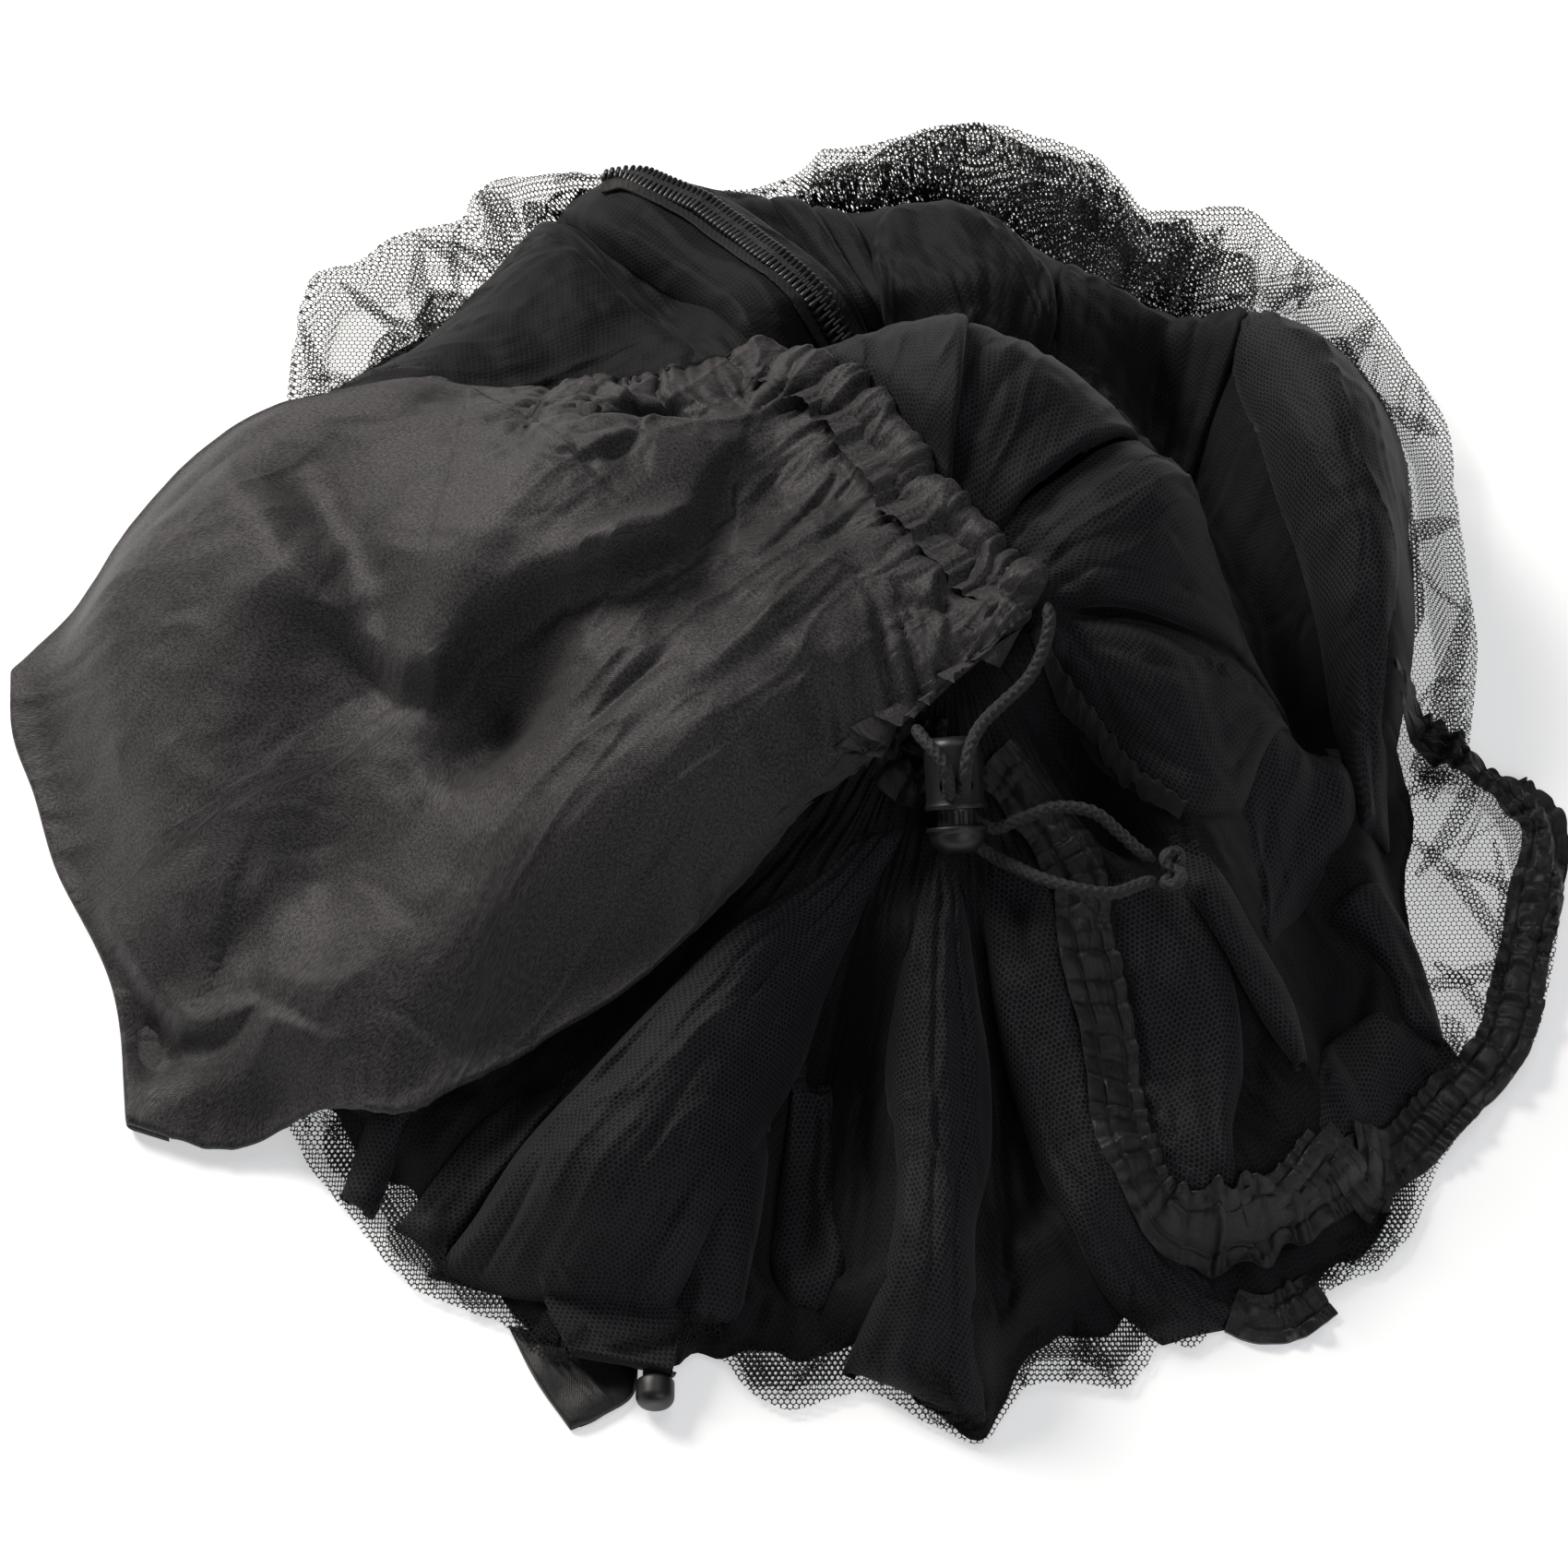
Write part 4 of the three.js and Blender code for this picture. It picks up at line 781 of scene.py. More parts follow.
def layPleat(target, row):
    # one pleat between two edge lines, draped on what lies below it and then added to the stack
    global stack
    first, second = np.array(row["first"], float), np.array(row["second"], float)
    spacing, seed = row["spacing"], row["seed"]
    rows = max(8, int(max(lengthOf(first), lengthOf(second)) / spacing))
    a, b = resample(first, rows), resample(second, rows)
    breadth = np.linalg.norm(b - a, axis=1)
    columns = max(8, int(breadth.max() / spacing))
    u, v = np.linspace(0, 1, columns)[None, :], np.linspace(0, 1, rows)[:, None]
    x = a[:, 0:1] * (1 - u) + b[:, 0:1] * u
    y = a[:, 1:2] * (1 - u) + b[:, 1:2] * u
    x = x + row["sway"] * noise(x, y, 13, seed + 50) * np.sin(math.pi * u)
    y = y + row["sway"] * noise(x, y, 13, seed + 51) * np.sin(math.pi * u)
    plan = np.stack([x, y], axis=-1)
    over, down = runLengths(plan, 1), runLengths(plan, 0)
    distance = {"first": over, "second": over[:, -1:] - over, "start": down, "end": down[-1:] - down}
    rounds = row["round"]
    soft = sample(soften(stack, row["bridge"]), x, y)
    raw = sample(stack, x, y)
    lift = row["rise"] + row["crown"] * (1 - (2 * u - 1) ** 2) + 0 * v
    drop = np.zeros(x.shape)
    merge = np.ones(x.shape)
    for name, size in rounds.items():
        if size > 0:
            drop += size * (1 - np.sqrt(1 - np.clip(1 - distance[name] / size, 0, 1) ** 2))
        else:
            lift *= smoothStep(distance[name] / row["fade"])
            merge *= smoothStep(distance[name] / melt)
    ripple = np.zeros(x.shape)
    for count, size, sharp, along in row["ripples"]:
        phase = (u if along else v) * count + 0.22 * noise(v * 3 + u, u * 3 + v, 1.0, seed + count)
        wave = np.abs(np.sin(math.pi * phase)) ** sharp
        ripple += size * (wave - 0.6) * (0.65 + 0.5 * noise(x, y, 22, seed + 7))
    lengthwise, sideways = (down, over) if row["grain"] else (over, down)
    bend = 3 * noise(x, y, 17, seed + 8)
    for wide, long, size in ((7.5, 60, 1.5), (3.2, 24, 0.6)):
        line = np.abs(noise((sideways + bend) / wide, lengthwise / long, 1.0, seed + 9))
        ripple += row["crease"] * size * (np.exp(-line / 0.16) - 0.35)
    ripple += row["rough"] * noise(x, y, 9, seed + 2) + 0.25 * noise(x, y, 4, seed + 3)
    edgeFade = np.ones(x.shape)
    for name in rounds:
        edgeFade *= smoothStep(distance[name] / melt) * 0.75 + 0.25
    z = soft + lift + ripple * edgeFade
    z = np.maximum(z, raw + 0.5) - drop
    z = (raw - 0.8) * (1 - merge) + z * merge
    z = np.minimum(z, sample(ceiling, x, y) - row["under"])
    z = np.maximum(z, row["least"])
    points = np.stack([x, y, z], axis=-1)
    before = stack.copy()
    np.maximum.at(stack, cellsOf(x, y), z)

    def wall(turned):
        return wallRows(turned, sample(before, *turned[0, :, :2].T) - 1.5)

    for side in ("start", "end", "first", "second"):
        if rounds.get(side, 0) > 0:
            points = onSide(points, side, wall)
    points[..., 2] = np.maximum(points[..., 2], 0.3)
    target.addGrid(points, clothUv(points))


# what a pleat has unless its own row says otherwise; lengths in mm
pleatLook = {"spacing": heap["spacing"], "sway": 0.8, "bridge": 3.5, "crown": 2.5, "fade": 14, "crease": 1.0,
             "rough": 0.5, "under": 0.0, "least": 0.6, "grain": True, "ripples": ()}


# pleats in the order in which they lie. round: 0 melts into the cloth below, more is a free rounded edge
def ridge(first, second, rise, rounds, **extra):
    names = ("first", "second", "start", "end")
    row = {"first": first, "second": second, "rise": rise, "round": dict(zip(names, rounds))}
    return {**pleatLook, **row, **extra}


backPleats = [
    ridge([(-112, 60), (-88, 62), (-62, 60), (-40, 66), (-16, 78)],
          [(-124, 76), (-119, 98), (-104, 119), (-86, 130), (-64, 136)], 1.5, (0, 13, 0, 5),
          ripples=[(3, 1.2, 1, False)], seed=11, bridge=6, fade=10),
    ridge([(2, 152), (10, 130), (19, 108), (24, 96)], [(12, 152), (20, 130), (27, 108), (32, 96)], 3,
          (3, 3, 4, 0), ripples=[(2, 0.8, 1, True)], seed=13),
    ridge([(-6, 151), (3, 132), (13, 112), (22, 94)], [(4, 151), (12, 130), (20, 110), (27, 96)], 4,
          (3, 3, 4, 0), seed=14),
    ridge([(-62, 151), (-45, 122), (-23, 101), (-5, 74)],
          [(-31, 151), (-15, 141), (-1, 127), (12, 112), (24, 94)], 5, (6, 3, 5, 0),
          ripples=[(2, 0.5, 1, True)], seed=15, rough=0.3, bridge=6),
    ridge([(66, 88), (78, 84), (90, 78), (98, 66)], [(70, 126), (88, 134), (106, 128), (118, 108)], 3,
          (0, 8, 4, 4), ripples=[(7, 2.4, 1, False)], seed=16),
    ridge([(28, 90), (40, 92), (52, 90), (64, 86)],
          [(24, 104), (22, 120), (24, 134), (34, 143), (46, 139), (58, 128), (66, 116), (68, 100)], 3.5,
          (0, 5, 4, 4), ripples=[(5, 1.8, 1, False), (13, 0.5, 1, False)], seed=17, fade=16, crown=1.5,
          grain=False),
]
rightPleats = [
    ridge([(112, 119), (110, 104), (112, 86), (116, 68), (120, 50), (125, 35), (129, 20), (132, 4),
           (134, -13), (137, -31)],
          [(134, 129), (147, 117), (155, 100), (158, 80), (156, 60), (153, 42), (150, 20), (148, 4),
           (146, -12), (146, -30)],
          7, (4, 9, 6, 5), ripples=[(2, 1.6, 1, True)], seed=21, bridge=6),
    ridge([(96, -8), (104, -26), (106, -44), (110, -62)], [(133, -8), (136, -28), (127, -44), (113, -68)], 3,
          (0, 4, 0, 3), ripples=[(3, 1.0, 1, True)], seed=22, bridge=5),
    ridge([(122, -98), (127, -84), (136, -76), (150, -70)],
          [(120, -120), (134, -112), (148, -98), (160, -84)], 2, (3, 0, 0, 0), ripples=[(5, 1.4, 1, False)],
          seed=23),
    ridge([(128, -52), (136, -58), (142, -66), (146, -78)], [(142, -42), (150, -52), (154, -66), (156, -80)],
          2, (3, 3, 3, 3), ripples=[(3, 1.2, 1, True)], seed=24),
]
frontPleats = [
    ridge([(-92, -96), (-98, -106), (-103, -118)], [(-80, -98), (-88, -110), (-95, -124)], 2, (3, 3, 0, 3),
          seed=31),
    ridge([(-62, -98), (-77, -114), (-90, -126)], [(-46, -98), (-62, -117), (-78, -137)], 3, (3, 3, 0, 4),
          seed=32),
    ridge([(2, -94), (0, -112), (-2, -128), (-3, -140), (1, -149)],
          [(11, -94), (12, -112), (13, -128), (14, -140), (11, -149)], 1.5, (4, 4, 0, 6), seed=33, sway=0.6,
          crown=2.5, bridge=6, ripples=[(2, 0.9, 1, True)], fade=34),
    ridge([(-14, -108), (-22, -130), (-32, -152)], [(-3, -108), (-5, -128), (-10, -152)], 4, (0, 4, 0, 4),
          seed=35),
    ridge([(14, -50), (-12, -74), (-40, -97), (-58, -113), (-71, -128), (-82, -138)],
          [(31, -46), (21, -62), (11, -78), (4, -95), (-4, -111), (-9, -124), (-18, -139), (-28, -154)], 6,
          (7, 6, 0, 9), ripples=[(5, 2.2, 0.8, True), (13, 0.7, 1, True)], seed=36, bridge=6, fade=46,
          crown=3),
    ridge([(33, -50), (30, -64), (26, -80), (23, -100), (25, -126), (22, -146), (13, -162)],
          [(40, -52), (42, -66), (44, -82), (47, -99), (47, -118), (43, -138), (44, -158), (46, -176)], 4.5,
          (5, 5, 0, 4), ripples=[(4, 2.4, 0.8, True), (11, 0.7, 1, True)], seed=39, bridge=6, fade=44,
          crown=2.5),
    ridge([(44, -54), (46, -72), (49, -92), (55, -112), (61, -128), (70, -143), (86, -155)],
          [(60, -54), (68, -74), (73, -96), (79, -121), (88, -134), (100, -140), (116, -147)], 6,
          (6, 0, 0, 7), ripples=[(4, 1.8, 0.8, True), (12, 0.6, 1, True)], seed=40, bridge=6, fade=36,
          crown=3),
    ridge([(72, -60), (77, -88), (83, -116), (92, -130)],
          [(94, -58), (103, -80), (105, -98), (102, -114), (106, -130)], 5, (0, 4, 0, 3),
          ripples=[(3, 1.5, 1, True), (8, 0.5, 1, True)], seed=41, fade=30, crown=4),
    ridge([(88, -50), (92, -64), (100, -76), (108, -87), (117, -98)],
          [(94, -49), (101, -59), (109, -70), (117, -80), (120, -96)], 6, (2, 2.5, 0, 2), seed=42, bridge=4,
          fade=20),
]
cornerLip = ridge([(-57, -140), (-53, -151), (-48, -160)], [(-22, -150), (-23.5, -158), (-25, -164.5)], 2.5,
                  (2, 2, 0, 2.5), seed=37, least=9.7, spacing=0.8, crown=1, ripples=[(4, 1.2, 1, False)])
cornerFold = ridge([(-63, -150), (-56, -164), (-48, -175.5)], [(-33, -158), (-34, -167), (-43, -173.5)], 1.2,
                   (1.2, 1.2, 0, 1.5), seed=38, spacing=0.7, crown=0.6, rough=0.8, crease=0.5, sway=0.4,
                   bridge=2)
fanLook = {"bridge": 6, "spacing": 0.85, "crown": 1, "crease": 0.6, "rough": 0.35}
fanPleats = [
    ridge([(57, -8), (70, -9), (88, -13), (106, -8), (120, -7)],
          [(59, -17), (66, -25), (73, -33), (83, -42), (93, -48), (103, -44), (112, -26), (122, -9)], 6,
          (0, 2, 0, 2.5), ripples=[(4, 1.5, 0.8, True)], seed=51, **fanLook),
    ridge([(44, 8), (50, 3), (56, -2), (60, -8)],
          [(84, 42), (88, 35), (95, 34), (99, 27), (100, 18), (106, 9), (114, 1), (121, -6)], 6,
          (0, 2.2, 2, 3), ripples=[(5, 1.6, 0.8, False)], seed=52, grain=False, **fanLook),
    ridge([(28, 30), (34, 22), (40, 14), (46, 8)],
          [(42, 73), (55, 72), (65, 73), (69, 68), (73, 60), (79, 52), (84, 43)], 7, (0, 2.2, 2.5, 2.5),
          ripples=[(4, 1.5, 0.8, False)], seed=53, grain=False, **fanLook),
    ridge([(0, 60), (10, 50), (20, 40), (30, 27), (38, 15)],
          [(2, 66), (12, 70), (20, 75), (29, 79), (37, 77), (44, 74)], 7, (0, 2.5, 3, 2.5),
          ripples=[(4, 1.3, 0.8, False)], seed=54, grain=False, under=0.2, **fanLook),
]
# the back pleats take the darker bobbinet, as painted shade against the key light
netGroups = (("net_pleats_right", rightPleats, tulleTurned), ("net_pleats_back", backPleats, tulleShadedDark),
             ("net_pleats_front", frontPleats, tulleCross), ("net_pleats_fans", fanPleats, tulleClose))
netPieces = [coreNet]
cornerStrip = ClothMesh()
layPleat(cornerStrip, cornerFold)
frontPleats.append(cornerLip)
for name, rowsOfPleats, material in netGroups:
    sheet = ClothMesh()
    for row in rowsOfPleats:
        layPleat(sheet, row)
    netPieces.append(sheet.build(name, material))
print("stage: pleats laid")

# sheer single and double layers round the heap, folded under at their outer edge
sheerLook = {"material": tulleSheerTurned, "inner": -0.04, "stray": 0.03, "lift": 1.2, "rows": 40}
sheerSheets = [
    {**sheerLook, "name": "net_sheer_low", "material": tulleSheer, "from": 0, "to": edgeRows, "inner": -0.05,
     "outer": 1.0, "stray": 0.004, "lift": 0.0, "seed": 61, "turns": 900, "rows": 44, "under": 10, "turn": 0},
    {**sheerLook, "name": "net_sheer_middle", "from": 7.5, "to": 27, "outer": 0.93, "stray": 0.06, "seed": 63,
     "turns": 520, "under": 16, "turn": 35},
    {**sheerLook, "name": "net_sheer_upper", "material": tulleSheer, "from": 9, "to": 24, "outer": 0.96,
     "lift": 2.2, "seed": 67, "turns": 400, "under": 30, "turn": 70},
    {**sheerLook, "name": "net_sheer_top", "from": 10, "to": 22, "outer": 0.965, "lift": 3.2, "seed": 66,
     "turns": 320, "rows": 36, "under": 30, "turn": 110},
    {**sheerLook, "name": "net_sheer_front", "from": 41, "to": 75, "inner": -0.05, "outer": 0.975,
     "lift": 1.0, "seed": 65, "turns": 440, "rows": 36, "under": 22, "turn": -20},
    {**sheerLook, "name": "net_sheer_left", "from": 28, "to": 37, "outer": 0.86, "stray": 0.05, "seed": 64,
     "turns": 180, "rows": 30, "under": 10, "turn": 50},
    {**sheerLook, "name": "net_sheer_right", "from": 80, "to": 88, "outer": 0.91, "seed": 69, "turns": 160,
     "under": 10, "turn": 15},
]
turnRows = 8  # rows of cloth folded under at an outer edge
sheerPieces = []
for plan in sheerSheets:
    whole, seed = plan["to"] - plan["from"] >= edgeRows, plan["seed"]
    turns = np.linspace(plan["from"], plan["to"], plan["turns"], endpoint=not whole)
    rim = edgeAt(turns)
    inner = np.interp(np.mod(turns, edgeRows), thick[:, 0], thick[:, 1]) + plan["inner"]
    inner = np.convolve(np.pad(inner, 9, mode="edge"), np.ones(19) / 19, mode="valid")
    stray = noise(turns * 0.55, turns * 0, 1.0, seed) * 0.65
    stray = stray + noise(turns * 1.7, turns * 0, 1.0, seed + 1) * 0.35
    outer = plan["outer"] + plan["stray"] * stray + 0.0025 * noise(turns * 3, turns * 0, 1.0, seed + 8)
    if not whole:
        outer -= 0.22 * (1 - smoothStep(np.minimum(turns - plan["from"], plan["to"] - turns) / 1.5))
    outer = np.maximum(outer, inner + 0.02)
    s = np.linspace(0, 1, plan["rows"])[None, :]
    share = inner[:, None] + (outer - inner)[:, None] * s
    x, y = outward(rim, share)
    z = rim[:, 2:3] * (0.25 + 0.75 * smoothStep(s * 1.6))
    fold = noise(turns[:, None] * 0.8 + 0.9 * noise(x, y, 25, seed + 2), s * 0.9 + 3, 1.0, seed + 3)
    waver = turns[:, None] * 2.0 + 0.5 * noise(x, y, 15, seed + 6)
    fold = fold + 0.3 * noise(waver, s * 1.3 + 9, 1.0, seed + 4)
    swell = np.sin(math.pi * np.clip(s * 0.92 + 0.04, 0, 1)) ** 0.5
    z = z + plan["lift"] + (1.0 + rim[:, 2:3] * 0.12) * fold * swell
    z = np.maximum(z, 0.9 + 0.3 * noise(x, y, 11, seed + 5))
    z = np.minimum(z, sample(ceiling, x, y))
    points = np.stack([x, y, z], axis=-1)
    edge, way = points[:, -1], points[:, -4] - points[:, -1]
    way[:, 2] = 0
    way = unit(way)
    under = []
    for k in range(1, turnRows + 1):
        turned = edge + way * (plan["under"] * (k / turnRows) ** 1.5 - 0.5 * math.sin(math.pi * k / turnRows))
        turned[:, 2] = edge[:, 2] + (0.7 - edge[:, 2]) * (k / turnRows) ** 0.8
        under.append(turned)
    points = np.concatenate([points, np.stack(under, axis=1)], axis=1)
    points[..., 2] = np.maximum(points[..., 2], 0.4)
    np.maximum.at(stack, cellsOf(points[..., 0], points[..., 1]), points[..., 2])
    swing = math.radians(plan["turn"])
    flat = points[..., :2] @ np.array([[math.cos(swing), math.sin(swing)],
                                       [-math.sin(swing), math.cos(swing)]])
    sheet = ClothMesh()
    sheet.addGrid(points, flat + points[..., 2:3] * 0.4, closed=whole)
    sheerPieces.append(sheet.build(plan["name"], plan["material"]))

# tucks across the sheer rim: narrow doubled folds that read as dark lines, wide ones as greyer bands
tucks = {"narrow": 46, "wide": 80, "steps": 26, "sides": 7, "free": ((0, 36.5), (41, 80)), "seed": 605,
         # those across the clear place at the right: row, start, end, drift, width
         "placed": [(78.6, 0.77, 0.95, 1.6, 5), (77.6, 0.76, 0.97, -1.8, 4.5), (79.3, 0.78, 0.94, 0.8, 4),
                    (76.6, 0.8, 0.97, 1.2, 5), (77.2, 0.93, 0.9, 2.4, 3.5)]}


def tuckSheet(name, count, widths, material, lift):
    rng = np.random.default_rng(tucks["seed"] + count)
    target = ClothMesh()
    plans = []
    for _ in range(count):
        low, high = tucks["free"][int(rng.random() < 0.5)]
        turn = rng.uniform(low, high)
        near = np.interp(turn, thick[:, 0], thick[:, 1]) - 0.03
        start = near + (1 - near) * rng.uniform(0, 0.45)
        end = min(start + (1 - near) * rng.uniform(0.35, 1.0), 0.995)
        plans.append((turn, start, end, rng.uniform(-1.6, 1.6), rng.uniform(*widths)))
    for turn, start, end, drift, width in plans + (tucks["placed"] if widths[0] > 1.5 else []):
        bow = rng.uniform(-0.25, 0.25)
        t = np.linspace(0, 1, tucks["steps"])
        rows = edgeAt(turn + drift * (t - 0.5) + bow * np.sin(math.pi * t))
        share = start + (end - start) * t
        line = np.concatenate(outward(rows, share[:, None]), axis=1)
        ahead = unit(np.gradient(line, axis=0))
        beside = np.stack([-ahead[:, 1], ahead[:, 0]], axis=1)
        across = np.linspace(-1, 1, tucks["sides"])
        half = width / 2 * (np.sin(math.pi * (0.06 + 0.9 * t)) ** 0.7)[:, None]
        x = line[:, 0:1] + beside[:, 0:1] * half * across
        y = line[:, 1:2] + beside[:, 1:2] * half * across
        z = sample(soften(stack, 1.2), x, y) + lift + 0.35 * half * (1 - across ** 2)
        points = np.stack([x, y, z], axis=-1)
        target.addGrid(points, clothUv(points))
    return target.build(name, material)


sheerPieces.append(tuckSheet("net_tucks_narrow", tucks["narrow"], (0.8, 2.0), tulleSheer, 0.5))
sheerPieces.append(tuckSheet("net_tucks_wide", tucks["wide"], (2, 7), tulleSheerTurned, 0.9))
netPieces += sheerPieces
for piece in netPieces:
    fitPiece(piece, "net_tulle")
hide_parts("net")
print("stage: sheer layers laid")


sack = {
    "front": [(-152, -100), (-131, -106), (-106, -102), (-86, -107), (-73, -102), (-52, -93), (-35, -86),
              (-18, -75), (-4, -58), (13, -41), (22, -29)],
    "back": [(-189.8, 22), (-176, 34), (-160, 49), (-144, 62), (-125, 68), (-107, 66), (-91, 63), (-82, 57),
             (-71, 49), (-58, 42), (-47, 39)],
    "closed": [(-152, -100), (-157, -68), (-175, -30), (-181, -12), (-188, 6), (-189.8, 22)],
    "mouth": [(22, -29), (32, -26), (46, -19), (55.5, -12.5), (57.5, -4), (49, 5), (41.5, 16), (36, 22),
              (27, 35), (17, 52), (7, 62), (-7, 70), (-15, 67.5), (-23, 64), (-32, 61), (-41, 59), (-47, 39)],
    "rows": 200, "columns": 330, "channel": 13.0, "puff": 1.7, "roll": 1.5, "mouthRoll": 1.9,
}
# the folds: kind, width or reach, height, and path points with how strong the fold is there
sackFolds = [
    ("step", 26, 14.0, [(-120, 7, 0), (-110, 4, 0.3), (-103, 0, 0.5), (-97, -5, 0.65), (-88, -14, 0.85),
                        (-80, -17, 1), (-71, -8, 1), (-56, -3, 1), (-37, -2, 1), (-26, 4, 0.9),
                        (-20, 16, 0.7), (-14, 31, 0.5), (-8, 40, 0)]),
    ("soft", 1.8, 1.0, [(-106, 1, 0), (-97, -4.5, 0.7), (-88, -13, 1), (-80, -16, 0.6), (-71, -8, 0.6),
                        (-56, -3, 1), (-37, -2, 0.8), (-26, 5, 0.3)]),
    ("soft", 9, -4.0, [(-118, 44, 0.5), (-110, 30, 1), (-101, 14, 1), (-92, 2, 0.6)]),
    ("soft", 10, -3.0, [(-84, -24, 0.6), (-80, -28, 1), (-74, -26, 1), (-62, -18, 0.8)]),
    ("step", 7, 2.4, [(-20, 16, 0), (-8, 24, 0.8), (-4, 30, 1), (2, 37, 0.6)]),
    ("soft", 11, -8.0, [(11, 28, 0.3), (-1, 27, 0.6), (-10, 16, 0.7), (-20, 0, 0.8), (-31, -9, 0.9),
                        (-48, -10, 1), (-64, -24, 1.3), (-72, -33, 0.7)]),
    ("soft", 8, -4.0, [(-70, -31, 1), (-66, -29, 1)]),
    ("step", 4, 1.9, [(-8, 2, 0), (0, 13, 1), (7, 23, 1), (13, 31, 0.6)]),
    ("step", 3, 1.9, [(6, 9, 0), (14, 17, 1), (20, 25, 0.6)]),
    ("step", 9, 2.0, [(22, 14, 0), (15, 8, 0.7), (9, 3, 1), (0, -8, 1), (-9, -18, 0.6), (-17, -28, 0)]),
    ("soft", 5, 1.6, [(21, 12, 0.5), (8, -3, 1), (-10, -23, 1), (-24, -34, 0.4)]),
    ("soft", 2.3, -2.6, [(-23, -20, 0), (-29, -26, 1), (-35, -31, 1), (-42, -37, 0.6), (-50, -43, 0)]),
    ("step", 8, 1.8, [(-25, -22, 0), (-32, -28, 1), (-40, -35, 1), (-50, -43, 0.3)]),
    ("soft", 4, -1.8, [(16, -3, 0.3), (0, -17, 1), (-17, -33, 1), (-34, -43, 0.3)]),
    ("soft", 8, 2.2, [(27, -2, 0.4), (12, -17, 0.8), (-4, -35, 1), (-29, -51, 1), (-60, -63, 0.5)]),
    ("soft", 1.1, -0.8, [(2, -40, 0), (-4, -45, 1), (-12, -49, 0.2)]),
    ("slope", 7, 14.0, [(-90, -8, 0), (-97, 6, 0.5), (-104, 20, 0.9), (-112, 36, 1), (-118, 48, 0.8),
                        (-126, 60, 0)]),
    ("soft", 9, 2.6, [(-135, 50, 0.3), (-124, 30, 1), (-117, 14, 1), (-108, 5, 0.5)]),
    ("soft", 22, -3.0, [(-98, -26, 1), (-84, -42, 0.6)]),
    ("soft", 7, -3.4, [(-110, -34, 0.4), (-109, -44, 1), (-109, -54, 0.6)]),
    ("soft", 9, -4.2, [(-117, -56, 0.4), (-124, -64, 1), (-132, -71, 1), (-143, -75, 0.5)]),
    ("step", 11, 8.5, [(-170, -41, 0), (-162, -52, 0.7), (-156, -61, 1), (-149, -72, 1), (-141, -82, 1),
                      (-134, -84, 0.7), (-127, -83, 0.5), (-120, -79, 0.2)]),
    ("soft", 6, -5.0, [(-152, -80, 1), (-147, -85, 0.8)]),
    ("soft", 3.0, -2.4, [(-121, -78, 0.6), (-115, -82, 1), (-108, -87, 1), (-101, -92, 0.2)]),
    ("soft", 5, 1.6, [(-121, -86, 0.6), (-112, -91, 1), (-98, -97, 0.5)]),
    ("soft", 1.6, -1.0, [(-112, -92, 0.3), (-104, -95, 1), (-92, -96, 0.3)]),
    ("soft", 1.5, -1.0, [(-95, -86, 0), (-84, -91, 1), (-74, -98, 0.6)]),
    ("soft", 3.2, -5.5, [(36, 8, 0.6), (39, 4, 1), (42, 1, 1), (40, -4, 0.5)]),
    ("soft", 2.0, -2.6, [(36, -4, 0.5), (36, -9, 1), (37, -14, 0.4)]),
    ("soft", 1.8, -1.8, [(27, -8, 0.3), (33, -10, 1), (36, -9, 0.8)]),
    ("soft", 1.6, 1.6, [(36, -13, 0.5), (35, -18, 1), (33, -23, 0.4)]),
    ("soft", 2.6, -7.0, [(-44, 46, 0.8), (-36, 46.5, 1), (-28, 46, 1), (-20, 46, 0.4)]),
    ("step", 5, 2.5, [(-16, 42.5, 0.5), (-32, 43.2, 1), (-48, 44, 1)]),
]


def edgeCurve(points):
    fine = resample(points, 600)
    return lambda share: pointsAt(share, np.linspace(0, 1, 600), fine)


